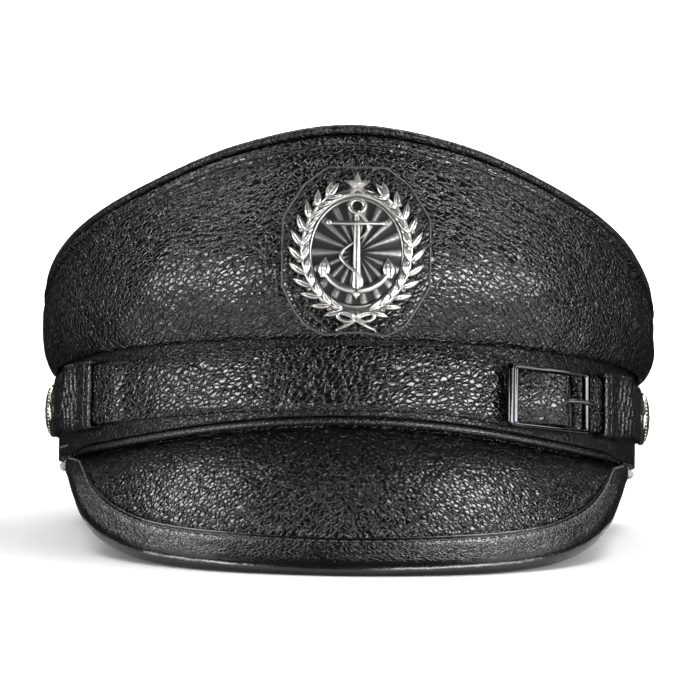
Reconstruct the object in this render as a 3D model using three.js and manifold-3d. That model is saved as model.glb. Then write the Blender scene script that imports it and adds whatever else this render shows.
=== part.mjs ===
import * as THREE from 'three';
import { mergeVertices } from 'three/addons/utils/BufferGeometryUtils.js';
import Module from 'manifold-3d';

// A leather captain hat, resting on the rim of its visor and on the back of its sweatband.
// Lengths are millimetres and turns are degrees round the head, from the front towards +X.
// The hat is drawn level in its own frame: X to its left, -Y to the front, Z up, and the lower
// edge of the band at the front is at height zero. The whole hat is leaned back at the end.

// Clearance between neighbouring pieces
const fit = 0.3;

// Head opening and band
const bandHalfWidth = 86;
const bandHalfDepth = 106;
const bandTop = 29;
const bandWall = 1.4;
const bandDip = 4.2;
const sweatWall = 1.3;
const sweatTop = 27;
const sweatBead = 1.25;

// Crown
const crownFoot = 23.6;
const crownWall = 2;
const crownFrontHeight = 83.4;
const crownBackHeight = 47;
const crownMiddleHeight = 58;
const bulgeFront = 8;
const bulgeSide = 5.8;
const topLeanFront = 2.2;
const topLeanSide = 4.2;
const footOut = 1.7;
const topRoll = 3;
const topWall = 1.8;
const seamStrip = 3.3;
const seamRise = 0.6;
const lipHeight = 4.5;

// Visor, with its rim measured from the band's middle
const visorTurn = 76;
const visorHalfWidth = 84.2;
const visorFront = 147;
const visorDrop = 43.8;
const visorBow = 5;
const visorWall = 2.2;
const tabWall = 1.5;
const tabHeight = 6;
const bindingWidth = 9.5;
const bindingWall = 1;
const pipingRadius = 1.1;
const pipingTurn = 66;

// Chin strap
const strapHeight = 12.8;
const strapWidth = 17.8;
const strapWall = 1.8;
const foldWall = 1.3;
const strapEndWidth = 15.6;
const strapTailLength = 11;
const keeperTurn = 59.6;
const keeperLength = 20;
const keeperMargin = 6.2;
const keeperRamp = 10.6;
const keeperWall = 1.1;

// Buckle
const buckleTurn = 38.4;
const buckleLength = 33;
const buckleHeight = 17.8;
const buckleThickness = 2;
const buckleBevel = 0.45;
const buckleSideBar = 1.5;
const buckleLeftBar = 3.6;
const buckleRightBar = 2.6;
const buckleMiddle = 5;
const middleBarRadius = 0.8;
const prongRadius = 0.85;
const sleeveWall = 0.6;
const sleeveLength = 2.4;

// Side buttons
const buttonTurn = 96;
const buttonRadius = 8;
const buttonThickness = 3.4;
const postRadius = 1.5;

// Badge and its leather patch
const badgeSide = 1.8;
const patchHalfWidth = 19.6;
const patchHalfHeight = 23.7;
const patchWall = 1.6;
const badgeHeight = 47;
const badgeHalfWidth = 17.6;
const badgeHalfHeight = 21.1;
const badgePlate = 1.2;
const leafLength = 7;
const leafWidth = 2.9;
const leafRise = 1.1;
const anchorBar = 1.5;
const anchorDepth = 1.9;
const ringRadius = 1.9;
const starRadius = 3.6;
const knotRadius = 2.2;

// How deep the leather flattens where the hat rests
const restFlat = 0.55;

// Steps used for curved pieces
const roundSteps = 56;
const visorSteps = 36;

// Height of the crown's top edge on its left and right side, as a share from the back's height
// to the front's
const crownRise = [
  { turn: 0, left: 1, right: 1 },
  { turn: 20, left: 0.875, right: 0.89 },
  { turn: 40, left: 0.635, right: 0.655 },
  { turn: 60, left: 0.41, right: 0.4 },
  { turn: 72, left: 0.26, right: 0.21 },
  { turn: 85, left: 0.12, right: 0.055 },
  { turn: 115, left: 0.03, right: 0 },
  { turn: 150, left: 0.01, right: 0 },
  { turn: 180, left: 0, right: 0 },
];

// Visor rim from the middle to the end: shares of its half width, reach and drop
const visorRim = [
  { along: 0, side: 0, ahead: 1, drop: 1 },
  { along: 0.2, side: 0.375, ahead: 0.945, drop: 0.965 },
  { along: 0.4, side: 0.635, ahead: 0.81, drop: 0.885 },
  { along: 0.54, side: 0.782, ahead: 0.665, drop: 0.755 },
  { along: 0.66, side: 0.865, ahead: 0.53, drop: 0.59 },
  { along: 0.78, side: 0.918, ahead: 0.37, drop: 0.39 },
  { along: 0.9, side: 0.955, ahead: 0.19, drop: 0.23 },
  { along: 1, side: 0.975, ahead: 0.05, drop: 0.16 },
];

// Chin strap round the head: lift as a share of its width, and width as a share of its widest
const strapRun = [
  { turn: -115, lift: 0.1, width: 0.94 },
  { turn: -96, lift: 0.085, width: 0.95 },
  { turn: -55, lift: -0.06, width: 0.96 },
  { turn: 0, lift: 0, width: 1 },
  { turn: 20, lift: 0, width: 1.07 },
  { turn: 32, lift: -0.125, width: 1.02 },
  { turn: 44, lift: -0.165, width: 0.86 },
  { turn: 60, lift: -0.085, width: 0.86 },
  { turn: 96, lift: 0.085, width: 0.86 },
  { turn: 115, lift: 0.1, width: 0.86 },
];

// Corners of the patch, as shares of its half width and half height
const patchCorners = [
  { across: -0.41, up: 1 },
  { across: 0.41, up: 1 },
  { across: 0.73, up: 0.79 },
  { across: 1, up: 0.4 },
  { across: 1, up: -0.4 },
  { across: 0.67, up: -0.86 },
  { across: 0.4, up: -1 },
  { across: 0.13, up: -0.96 },
  { across: -0.13, up: -0.96 },
  { across: -0.4, up: -1 },
  { across: -0.67, up: -0.88 },
  { across: -0.83, up: -0.7 },
  { across: -1, up: -0.4 },
  { across: -1, up: 0.4 },
  { across: -0.73, up: 0.79 },
];

// Value of a table's column at a place between its rows, on a smooth curve through them.
// The curve starts level where the table is mirrored about its first row.
function smooth(rows, key, column, at, level = true) {
  const last = rows.length - 1;
  if (at <= rows[0][key]) return rows[0][column];
  if (at >= rows[last][key]) return rows[last][column];
  let i = 0;
  while (rows[i + 1][key] < at) i++;
  const slope = (j) => {
    if (j === 0 && level) return 0;
    const a = rows[Math.max(j - 1, 0)];
    const b = rows[Math.min(j + 1, last)];
    return (b[column] - a[column]) / (b[key] - a[key]);
  };
  const span = rows[i + 1][key] - rows[i][key];
  const t = (at - rows[i][key]) / span;
  const rise = rows[i + 1][column] - rows[i][column];
  const m0 = slope(i) * span;
  const m1 = slope(i + 1) * span;
  return rows[i][column] + m0 * t + (3 * rise - 2 * m0 - m1) * t * t + (m0 + m1 - 2 * rise) * t ** 3;
}

// Angle folded to the range -180 to 180 degrees
function wrapTurn(turn) {
  return THREE.MathUtils.euclideanModulo(turn + 180, 360) - 180;
}

// Outward direction of the band at a turn
function outward(turn) {
  const a = THREE.MathUtils.degToRad(turn);
  return new THREE.Vector3(bandHalfDepth * Math.sin(a), -bandHalfWidth * Math.cos(a), 0).normalize();
}

// Point at a turn, at a distance outside the band and at a height
function onBand(turn, out, up) {
  const a = THREE.MathUtils.degToRad(turn);
  const point = new THREE.Vector3(bandHalfWidth * Math.sin(a), -bandHalfDepth * Math.cos(a), up);
  return point.addScaledVector(outward(turn), out);
}

// Millimetres along the band for each degree of turn
function bandSpeed(turn) {
  const a = THREE.MathUtils.degToRad(turn);
  return THREE.MathUtils.degToRad(Math.hypot(bandHalfWidth * Math.cos(a), bandHalfDepth * Math.sin(a)));
}

// Turn reached by walking a length along the band from another turn
function turnAfter(turn, length) {
  const steps = 8;
  let at = turn;
  for (let i = 0; i < steps; i++) {
    const half = at + length / steps / 2 / bandSpeed(at);
    at += length / steps / bandSpeed(half);
  }
  return at;
}

// Radius of the band's curve at a turn
function bandCurve(turn) {
  const speed = THREE.MathUtils.radToDeg(bandSpeed(turn));
  return speed ** 3 / (bandHalfWidth * bandHalfDepth);
}

// One closed body with merged corners, no collapsed triangles and its faces out
function closeBody(positions, triangles) {
  const loose = new THREE.BufferGeometry();
  loose.setAttribute('position', new THREE.Float32BufferAttribute(positions, 3));
  loose.setIndex(triangles);
  const body = mergeVertices(loose, 1e-4);
  const index = Array.from(body.index.array);
  const kept = [];
  const corners = [0, 1, 2].map(() => new THREE.Vector3());
  let volume = 0;
  for (let i = 0; i < index.length; i += 3) {
    const [a, b, c] = index.slice(i, i + 3);
    if (a === b || b === c || c === a) continue;
    kept.push([a, b, c]);
    [a, b, c].forEach((v, k) => corners[k].fromBufferAttribute(body.attributes.position, v));
    volume += corners[0].dot(corners[1].cross(corners[2]));
  }
  body.setIndex((volume < 0 ? kept.map(([a, b, c]) => [a, c, b]) : kept).flat());
  body.computeVertexNormals();
  return body;
}

// Body lofted through sections, each a list of [x, y] corners that place() puts in space.
// A run that isn't a whole ring is capped at both ends.
function loft(sections, place, ring) {
  const positions = [];
  const triangles = [];
  const corners = sections[0].length;
  sections.forEach((section, i) => section.forEach((corner) => positions.push(...place(i, corner))));
  const count = sections.length;
  for (let i = 0; i < (ring ? count : count - 1); i++) {
    for (let j = 0; j < corners; j++) {
      const k = (j + 1) % corners;
      const a = i * corners;
      const b = ((i + 1) % count) * corners;
      triangles.push(a + j, b + j, b + k, a + j, b + k, a + k);
    }
  }
  if (!ring) {
    for (const [end, turned] of [[0, true], [count - 1, false]]) {
      const outline = sections[end].map(([x, y]) => new THREE.Vector2(x, y));
      const clockwise = THREE.ShapeUtils.isClockWise(sections[0].map(([x, y]) => new THREE.Vector2(x, y)));
      for (const face of THREE.ShapeUtils.triangulateShape(outline, [])) {
        const [a, b, c] = face.map((v) => v + end * corners);
        const area = THREE.ShapeUtils.area([face[0], face[1], face[2]].map((v) => outline[v]));
        const flip = (area < 0) !== clockwise;
        triangles.push(...(flip !== turned ? [a, b, c] : [a, c, b]));
      }
    }
  }
  return closeBody(positions, triangles);
}

// Whole ring round the head: section(turn) gives [out, up] corners
function headRing(section) {
  const turns = Array.from({ length: roundSteps }, (_, i) => (i * 360) / roundSteps - 180);
  return loft(turns.map(section), (i, [out, up]) => onBand(turns[i], out, up), true);
}

// Stretch round the head between two turns
function headRun(from, to, steps, section) {
  const turns = Array.from({ length: steps + 1 }, (_, i) => from + ((to - from) * i) / steps);
  return loft(turns.map(section), (i, [out, up]) => onBand(turns[i], out, up), false);
}

// Joining and cutting of closed bodies
const solids = await Module();
solids.setup();

function toSolid(geometry) {
  const bare = geometry.clone();
  for (const name of Object.keys(bare.attributes)) if (name !== 'position') bare.deleteAttribute(name);
  const merged = mergeVertices(bare, 1e-4);
  const vertProperties = new Float32Array(merged.attributes.position.array);
  const triVerts = new Uint32Array(merged.index.array);
  return new solids.Manifold(new solids.Mesh({ numProp: 3, vertProperties, triVerts }));
}

function fromSolid(solid) {
  const mesh = solid.getMesh();
  return closeBody(Array.from(mesh.vertProperties), Array.from(mesh.triVerts));
}

// 1 over the visor, 0 behind its ends
function visorShare(turn) {
  return 1 - THREE.MathUtils.smoothstep(Math.abs(turn), visorTurn + 1, visorTurn + 9);
}

// 1 along the piping, 0 past its ends
function pipingShare(turn) {
  return 1 - THREE.MathUtils.smoothstep(Math.abs(turn), pipingTurn - 8, pipingTurn + 3);
}

// Line of the band's lower edge, which dips at the temples and is level behind
function jointHeight(turn) {
  const dipEnd = 120;
  if (Math.abs(turn) > dipEnd) return 0;
  return -bandDip * Math.sin(THREE.MathUtils.degToRad((turn * 180) / dipEnd)) ** 2;
}

// Radius of the piping, which thins out towards its ends
function pipingSize(turn) {
  return pipingRadius * (0.25 + 0.75 * pipingShare(turn));
}

// Lower edge of the band's leather, which stops above the piping in front
function bandLow(turn) {
  return jointHeight(turn) + (2 * pipingSize(turn) + fit) * visorShare(turn);
}

function headbandSection(turn) {
  const low = bandLow(turn);
  const middle = (low + bandTop) / 2;
  return [
    [0, low],
    [0, middle],
    [0, bandTop],
    [-bandWall, bandTop],
    [-bandWall, middle],
    [-bandWall, low],
  ];
}

// The sweatband leaves room for the visor's tab in front and hugs the band behind
function sweatbandSection(turn) {
  const share = visorShare(turn);
  const outer = -bandWall - fit - (tabWall + fit) * share;
  const bead = THREE.MathUtils.lerp(sweatBead, sweatWall / 2, share);
  const beadOut = outer - bead + (bandWall + fit - 0.2) * (1 - share);
  const beadUp = jointHeight(turn) - fit - bead;
  const section = [[outer, sweatTop], [outer, beadUp + bead]];
  for (const angle of [40, -20, -90, -160]) {
    const a = THREE.MathUtils.degToRad(angle);
    section.push([beadOut + bead * Math.cos(a), beadUp + bead * Math.sin(a)]);
  }
  section.push([outer - sweatWall, beadUp + 3 * sweatBead], [outer - sweatWall, sweatTop]);
  return section;
}

function pipingSection(turn) {
  const radius = pipingSize(turn);
  const section = [];
  for (let k = 0; k < 6; k++) {
    const a = (k * Math.PI) / 3;
    section.push([-0.1 + radius * Math.cos(a), jointHeight(turn) + radius + radius * Math.sin(a)]);
  }
  return section;
}

// Top edge of the crown
function crownTop(turn) {
  const signed = wrapTurn(turn);
  const share = smooth(crownRise, 'turn', signed < 0 ? 'left' : 'right', Math.abs(signed));
  return crownBackHeight + (crownFrontHeight - crownBackHeight) * share;
}

function frontShare(turn) {
  return Math.cos(THREE.MathUtils.degToRad(turn)) ** 2;
}

function topOut(turn) {
  return THREE.MathUtils.lerp(topLeanSide, topLeanFront, frontShare(turn));
}

// Outside of the crown's wall: it swells over the band and leans back to its top seam
const bellyShare = 0.4;
function crownOut(turn, share) {
  const bulge = THREE.MathUtils.lerp(bulgeSide, bulgeFront, frontShare(turn));
  if (share < bellyShare) {
    const rise = Math.sin(((Math.PI / 2) * share) / bellyShare) ** 0.8;
    return footOut + (bulge - footOut) * rise;
  }
  const fall = Math.cos(((Math.PI / 2) * (share - bellyShare)) / (1 - bellyShare));
  return topOut(turn) + (bulge - topOut(turn)) * fall;
}

function crownWallSection(turn) {
  const top = crownTop(turn) - topRoll;
  const rise = top - crownFoot;
  const stripShare = 1 - seamStrip / rise;
  const section = [];
  for (const share of [0, 0.09, 0.22, 0.4, 0.7]) {
    section.push([crownOut(turn, share * stripShare), crownFoot + rise * share * stripShare]);
  }
  section.push([crownOut(turn, stripShare), top - seamStrip]);
  section.push([crownOut(turn, stripShare) + seamRise, top - seamStrip + seamRise / 2]);
  section.push([topOut(turn) + seamRise, top]);
  section.push([topOut(turn) - crownWall, top]);
  for (const share of [0.7, 0.35]) {
    section.push([crownOut(turn, share * stripShare) - crownWall, crownFoot + rise * share * stripShare]);
  }
  section.push([crownWall + fit / 2, crownFoot + lipHeight * 0.7]);
  section.push([crownWall - fit, crownFoot + lipHeight]);
  section.push([fit, crownFoot + lipHeight]);
  section.push([fit, crownFoot + 0.5]);
  return section;
}

// Top panel: a sheet from its rolled rim to the middle, which lies lower than the front
function crownTopGeometry() {
  const turns = Array.from({ length: roundSteps }, (_, i) => (i * 360) / roundSteps - 180);
  const shares = [0.93, 0.78, 0.5, 0];
  const slopePower = 1.7;
  const height = (turn, share) => {
    const valley = 0.9 * THREE.MathUtils.smoothstep(share, 0.6, 0.93) * (1 - share) * 10;
    return crownMiddleHeight + (crownTop(turn) - crownMiddleHeight) * share ** slopePower - valley;
  };
  const sections = turns.map((turn) => {
    const top = crownTop(turn);
    const seat = top - topRoll + fit;
    const rim = topOut(turn);
    const outer = [
      [rim, seat],
      [rim + 0.5, seat + topRoll * 0.35],
      [rim - 0.3, top - topRoll * 0.13],
      [rim - 2, top],
    ];
    const inner = [
      [rim - topWall - 0.2, seat],
      [rim - topWall - 1.6, top - topWall],
    ];
    const shell = (drop, rings) => rings.map((share) => ({ share, up: height(turn, share) - drop }));
    return [
      ...outer.map(([out, up]) => ({ out, up })),
      ...shell(0, shares),
      ...shell(topWall, [0, 0.5, 0.93]),
      ...inner.reverse().map(([out, up]) => ({ out, up })),
    ];
  });
  const place = (i, corner) => {
    if (corner.out !== undefined) return onBand(turns[i], corner.out, corner.up);
    const edge = onBand(turns[i], topOut(turns[i]) - 2, 0);
    return new THREE.Vector3(edge.x * corner.share, edge.y * corner.share, corner.up);
  };
  return loft(sections, place, true);
}

// Slice of the visor at a share of the way from its middle to its end, on either side.
// It starts at the tab behind the band and curves out to the rim.
function visorSlice(along) {
  const side = Math.sign(along);
  const far = Math.abs(along);
  const turn = visorTurn * along;
  const column = (name) => smooth(visorRim, 'along', name, far, name !== 'side');
  const start = onBand(turn, -bandWall - fit - tabWall / 2, jointHeight(turn) - 0.6 - 0.8 * far ** 2);
  const behind = onBand(visorTurn, 0, 0).y;
  const rim = new THREE.Vector3(
    side * visorHalfWidth * column('side'),
    behind + (-visorFront - behind) * column('ahead'),
    -visorDrop * column('drop'),
  );
  const run = rim.clone().sub(start);
  const length = run.length();
  const flat = new THREE.Vector3(run.x, run.y, 0);
  const reach = flat.length();
  flat.normalize();
  const bow = visorBow * Math.min(1, length / (visorFront - bandHalfDepth));
  const curve = new THREE.QuadraticBezierCurve(
    new THREE.Vector2(0, 0),
    new THREE.Vector2(reach / 2 - (bow * run.z) / length, run.z / 2 + (bow * reach) / length),
    new THREE.Vector2(reach, run.z),
  );
  const at = (distance, offset) => {
    const t = THREE.MathUtils.clamp(1 - distance / length, 0, 1);
    const point = curve.getPoint(t);
    const tangent = curve.getTangent(t);
    const past = Math.max(0, -distance);
    return [
      point.x + tangent.x * past - tangent.y * offset,
      point.y + tangent.y * past + tangent.x * offset,
    ];
  };
  return { start, flat, length, at };
}

const visorAlong = Array.from({ length: visorSteps + 1 }, (_, i) => (2 * i) / visorSteps - 1);
const visorSlices = visorAlong.map(visorSlice);
const placeOnVisor = (i, [ahead, up]) => {
  const { start, flat } = visorSlices[i];
  return start.clone().addScaledVector(flat, ahead).add(new THREE.Vector3(0, 0, up));
};

// Space that the panel leaves inside the rolled rim
const rimRadius = visorWall / 2 + fit + bindingWall;
const panelInset = rimRadius;

// Width of the binding at a slice, and the middle of the strip that it covers
function bindingReach(length) {
  const width = Math.min(bindingWidth, 0.62 * length);
  return { width, middle: (panelInset + width) / 2 };
}

function visorPanelSection({ length, at }) {
  const half = visorWall / 2;
  const lower = 1.6;
  const { width, middle } = bindingReach(length);
  const cuts = [0.9, 0.75, 0.6].map((share) => panelInset + (length - panelInset) * share);
  cuts.push(width, middle);
  return [
    [tabWall / 2, tabHeight],
    [tabWall / 2, 0.2],
    ...cuts.map((cut) => at(cut, half)),
    at(panelInset, half),
    at(panelInset, -half),
    ...cuts.reverse().map((cut) => at(cut, -half)),
    [-tabWall / 2, -lower],
    [-tabWall / 2, tabHeight],
  ];
}

function visorBindingSection({ length, at }) {
  const { width, middle } = bindingReach(length);
  const inner = visorWall / 2 + fit;
  const outer = inner + bindingWall;
  const rimCentre = panelInset - 0.1;
  const arc = [60, 20, -20, -60].map((angle) => {
    const a = THREE.MathUtils.degToRad(angle);
    return at(rimCentre - outer * Math.cos(a), outer * Math.sin(a));
  });
  return [
    at(width, inner),
    at(width, outer - 0.2),
    at(middle, outer),
    ...arc,
    at(middle, -outer),
    at(width, -outer),
    at(width, -inner),
    at(middle, -inner),
    at(panelInset - fit, -inner),
    at(panelInset - fit, inner),
    at(middle, inner),
  ];
}

// Chin strap's middle height and width at a turn
function strapMiddle(turn) {
  return strapHeight + strapWidth * smooth(strapRun, 'turn', 'lift', turn);
}

function strapHalf(turn) {
  return (strapWidth * smooth(strapRun, 'turn', 'width', turn)) / 2;
}

// Height that the strap is lifted off the band where a keeper passes under it
function strapLift(turn) {
  const speed = bandSpeed(keeperTurn);
  const near = (keeperLength / 2 + keeperMargin) / speed;
  const away = Math.abs(Math.abs(turn) - keeperTurn);
  return fit + (keeperWall + fit) * (1 - THREE.MathUtils.smoothstep(away, near, near + keeperRamp / speed));
}

// Strap section: a flat band of leather with eased outer corners
function strapCorners(low, wall, middle, half) {
  const ease = Math.min(0.5, half / 2);
  return [
    [low, middle - half],
    [low, middle + half],
    [low + wall * 0.7, middle + half],
    [low + wall, middle + half - ease],
    [low + wall, middle - half + ease],
    [low + wall * 0.7, middle - half],
  ];
}

// Half height of a strap near its rounded end
function roundedHalf(half, toEnd) {
  if (toEnd >= half) return half;
  return half * Math.sqrt(Math.max(0.04, 1 - (1 - toEnd / half) ** 2));
}

const strapTurnEnd = turnAfter(-buttonTurn, -strapTailLength);
const strapEndTurnEnd = turnAfter(buttonTurn, strapTailLength);

// Main strap: along the band from its left end, under the buckle, round the middle bar and
// back over it as a narrower fold that ends under the frame's left bar
function strapMainGeometry() {
  const barOut = middleBarUp() + buckleMiddle ** 2 / 2 / bandCurve(buckleTurn);
  const foldHalf = buckleHeight / 2 - buckleSideBar - fit;
  const foldMiddle = strapMiddle(buckleTurn);
  const bandCentre = fit + strapWall / 2;
  const foldTop = barOut + middleBarRadius + fit + foldWall / 2;
  const wrapRadius = (foldTop - bandCentre) / 2;
  const wrapCentre = (foldTop + bandCentre) / 2;
  const leftEnd = -buckleLength / 2;
  const tuckedOut = fit + strapWall + fit + foldWall / 2;
  const path = [];
  const startAt = turnAfter(buckleTurn, leftEnd);
  const steps = 28;
  for (let i = 0; i < steps; i++) {
    const turn = strapTurnEnd + ((startAt - strapTurnEnd) * i) / steps;
    const toEnd = (turn - strapTurnEnd) * bandSpeed(-buttonTurn);
    const half = roundedHalf(strapHalf(turn), toEnd + 0.2);
    const out = strapLift(turn) + strapWall / 2;
    path.push({ turn, out, wall: strapWall, lean: 0, half, up: strapMiddle(turn) });
  }
  for (const share of [0, 0.35, 0.7, 0.9]) {
    const run = leftEnd + (buckleMiddle - leftEnd) * share;
    const turn = turnAfter(buckleTurn, run);
    const half = strapHalf(turn);
    path.push({ turn, out: bandCentre, wall: strapWall, lean: 0, half, up: strapMiddle(turn) });
  }
  for (const angle of [-90, -50, -10, 30, 60, 90]) {
    const a = THREE.MathUtils.degToRad(angle);
    const turn = turnAfter(buckleTurn, buckleMiddle + wrapRadius * Math.cos(a));
    const share = (angle + 90) / 180;
    path.push({
      turn,
      out: wrapCentre + wrapRadius * Math.sin(a),
      wall: THREE.MathUtils.lerp(strapWall, foldWall, share),
      lean: angle + 90,
      half: foldHalf,
      up: foldMiddle,
    });
  }
  for (const share of [0.25, 0.5, 0.8, 1]) {
    const run = buckleMiddle + (leftEnd - 1 - buckleMiddle) * share;
    const turn = turnAfter(buckleTurn, run);
    const out = THREE.MathUtils.lerp(foldTop, tuckedOut, THREE.MathUtils.smoothstep(share, 0, 0.8));
    path.push({ turn, out, wall: foldWall, lean: 180, half: foldHalf, up: foldMiddle });
  }
  const sections = path.map(({ up, wall, half }) => strapCorners(-wall / 2, wall, up, half));
  const place = (i, [offset, up]) => {
    const { turn, out, lean } = path[i];
    const a = THREE.MathUtils.degToRad(lean);
    const point = onBand(turn, out + offset * Math.cos(a), up);
    const along = outward(turn).applyAxisAngle(new THREE.Vector3(0, 0, 1), Math.PI / 2);
    return point.addScaledVector(along, -offset * Math.sin(a));
  };
  return loft(sections, place, false);
}

// Other end of the strap: from its tail behind the right button to under the buckle's right bar
function strapEndGeometry() {
  const from = turnAfter(buckleTurn, buckleLength / 2 - buckleRightBar - 1.5);
  const steps = 20;
  const turns = Array.from({ length: steps + 1 }, (_, i) => from + ((strapEndTurnEnd - from) * i) / steps);
  const sections = turns.map((turn) => {
    const toEnd = (strapEndTurnEnd - turn) * bandSpeed(buttonTurn);
    const half = roundedHalf(strapEndWidth / 2, toEnd + 0.2);
    return strapCorners(strapLift(turn), strapWall, strapMiddle(turn), half);
  });
  return loft(sections, (i, [out, up]) => onBand(turns[i], out, up), false);
}

// Keeper: a closed leather loop round the strap
function keeperGeometry(centreTurn, halfWidth) {
  const inLow = 2 * fit + keeperWall;
  const inHigh = inLow + strapWall + fit;
  const inHalf = halfWidth + fit;
  const stations = [
    { out: inLow - fit, half: inHalf, side: 1, back: 1 },
    { out: inHigh, half: inHalf, side: 1, back: 0 },
    { out: inHigh, half: inHalf, side: -1, back: 0 },
    { out: inLow - fit, half: inHalf, side: -1, back: 1 },
  ];
  const across = [-0.5, -0.25, 0, 0.25, 0.5];
  const turnAt = (share) => turnAfter(centreTurn, share * keeperLength);
  const ring = [];
  for (const { out, half, side, back } of stations) {
    const inner = across.map((share) => ({ share, out, up: side * half }));
    const grown = out + (back ? -keeperWall : keeperWall);
    const outer = across.map((share) => ({ share, out: grown, up: side * (half + keeperWall) }));
    ring.push([...inner, ...outer.reverse()]);
  }
  const place = (i, { share, out, up }) => {
    const turn = turnAt(share);
    return onBand(turn, out, strapMiddle(turn) + up);
  };
  return loft(ring, place, true);
}

// Lift of the buckle's flat back off the band at its middle, so that both straps pass under it
function buckleLift() {
  const inside = buckleLength / 2 - buckleLeftBar;
  const fallAway = inside ** 2 / 2 / bandCurve(buckleTurn);
  return fit + strapWall + fit + foldWall + fit - fallAway + 0.05;
}

// Height of the middle bar's axis over the band at the buckle's middle
function middleBarUp() {
  return buckleLift() + middleBarRadius * 0.3;
}

// Frame of the buckle at its place: X along the strap, Y up, Z out
function buckleMatrix() {
  const out = outward(buckleTurn);
  const up = new THREE.Vector3(0, 0, 1);
  const along = up.clone().cross(out);
  const matrix = new THREE.Matrix4().makeBasis(along, up, out);
  return matrix.setPosition(onBand(buckleTurn, 0, strapMiddle(buckleTurn)));
}

function roundedOutline(shape, x0, y0, x1, y1, radius) {
  shape.moveTo(x0 + radius, y0);
  shape.lineTo(x1 - radius, y0);
  shape.absarc(x1 - radius, y0 + radius, radius, -Math.PI / 2, 0);
  shape.lineTo(x1, y1 - radius);
  shape.absarc(x1 - radius, y1 - radius, radius, 0, Math.PI / 2);
  shape.lineTo(x0 + radius, y1);
  shape.absarc(x0 + radius, y1 - radius, radius, Math.PI / 2, Math.PI);
  shape.lineTo(x0, y0 + radius);
  shape.absarc(x0 + radius, y0 + radius, radius, Math.PI, 1.5 * Math.PI);
  return shape;
}

function buckleFrameGeometry() {
  const x = buckleLength / 2 - buckleBevel;
  const y = buckleHeight / 2 - buckleBevel;
  const shape = roundedOutline(new THREE.Shape(), -x, -y, x, y, 1.2);
  const left = -buckleLength / 2 + buckleLeftBar - buckleBevel;
  const right = buckleLength / 2 - buckleRightBar + buckleBevel;
  const top = buckleHeight / 2 - buckleSideBar + buckleBevel;
  shape.holes.push(roundedOutline(new THREE.Path(), left, -top, right, top, 0.6));
  const frame = new THREE.ExtrudeGeometry(shape, {
    depth: buckleThickness - 2 * buckleBevel,
    bevelThickness: buckleBevel,
    bevelSize: buckleBevel,
    bevelSegments: 1,
    curveSegments: 3,
  });
  frame.translate(0, 0, buckleLift() + buckleBevel);
  const bar = new THREE.CylinderGeometry(middleBarRadius, middleBarRadius, buckleHeight - buckleSideBar, 8);
  bar.translate(buckleMiddle, 0, middleBarUp());
  return fromSolid(toSolid(frame).add(toSolid(bar)));
}

// Prong: a sleeve on the middle bar and a tapered finger over the right bar
function prongGeometry() {
  const barUp = middleBarUp();
  const sleeve = middleBarRadius + fit;
  const profile = [[0, -1], [1, -1], [1, 1], [0, 1], [0, -1]]
    .map(([wall, end]) => [sleeve + wall * sleeveWall, (end * sleeveLength) / 2]);
  const eye = new THREE.LatheGeometry(profile.map(([r, h]) => new THREE.Vector2(r, h)), 12);
  eye.translate(buckleMiddle, 0, barUp);
  const overBar = buckleLift() + buckleThickness + fit + prongRadius;
  const tip = buckleLength / 2 + 1.6;
  const route = new THREE.CatmullRomCurve3([
    new THREE.Vector3(buckleMiddle + sleeve + 0.3, 0, barUp + 0.3),
    new THREE.Vector3(buckleMiddle + sleeve + 2.4, 0, barUp + 2),
    new THREE.Vector3(buckleLength / 2 - buckleRightBar, 0, overBar),
    new THREE.Vector3(tip, 0, overBar - 0.2),
  ]);
  const count = 8;
  const sections = Array.from({ length: count + 1 }, (_, i) => {
    const radius = prongRadius * (i === count ? 0.45 : 1 - 0.25 * (i / count));
    return Array.from({ length: 8 }, (_, k) => {
      const a = (k * Math.PI) / 4;
      return [radius * Math.cos(a), radius * Math.sin(a)];
    });
  });
  const place = (i, [side, up]) => {
    const point = route.getPointAt(i / count);
    const tangent = route.getTangentAt(i / count);
    const rise = new THREE.Vector3(-tangent.z, 0, tangent.x);
    return point.addScaledVector(rise, up).add(new THREE.Vector3(0, side, 0));
  };
  return fromSolid(toSolid(eye).add(toSolid(loft(sections, place, false))));
}

// Side button: a domed disc with a rope-like rim, and a plain post through strap and band
function buttonGeometry() {
  const back = strapLift(buttonTurn) + strapWall + fit;
  const post = back + bandWall * 0.8;
  const profile = [
    [0, -post],
    [postRadius, -post],
    [postRadius, 0],
    [buttonRadius - 0.6, 0],
    [buttonRadius, 0.6],
    [buttonRadius, 1.2],
    [buttonRadius - 0.5, 1.9],
    [buttonRadius - 1.3, 1.9],
    [buttonRadius - 1.8, 1.5],
    [buttonRadius * 0.55, buttonThickness - 0.7],
    [buttonRadius * 0.25, buttonThickness - 0.1],
    [0, buttonThickness],
  ];
  const dome = new THREE.LatheGeometry(profile.map(([r, h]) => new THREE.Vector2(r, h)), 16);
  dome.rotateX(Math.PI / 2);
  return closeBody(Array.from(dome.attributes.position.array), Array.from(dome.index.array));
}

function buttonMatrix(turn) {
  const out = outward(turn);
  const up = new THREE.Vector3(0, 0, 1);
  const matrix = new THREE.Matrix4().makeBasis(up.clone().cross(out), up, out);
  const seat = strapLift(turn) + strapWall + fit;
  return matrix.setPosition(onBand(turn, seat, strapMiddle(turn)));
}

// Bore for a button's post, wider than the post by the fit
function postBore(turn) {
  const reach = 6 * buttonThickness;
  const bore = new THREE.CylinderGeometry(postRadius + fit, postRadius + fit, reach, 12);
  bore.rotateX(Math.PI / 2);
  bore.applyMatrix4(buttonMatrix(turn));
  return toSolid(bore);
}

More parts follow.
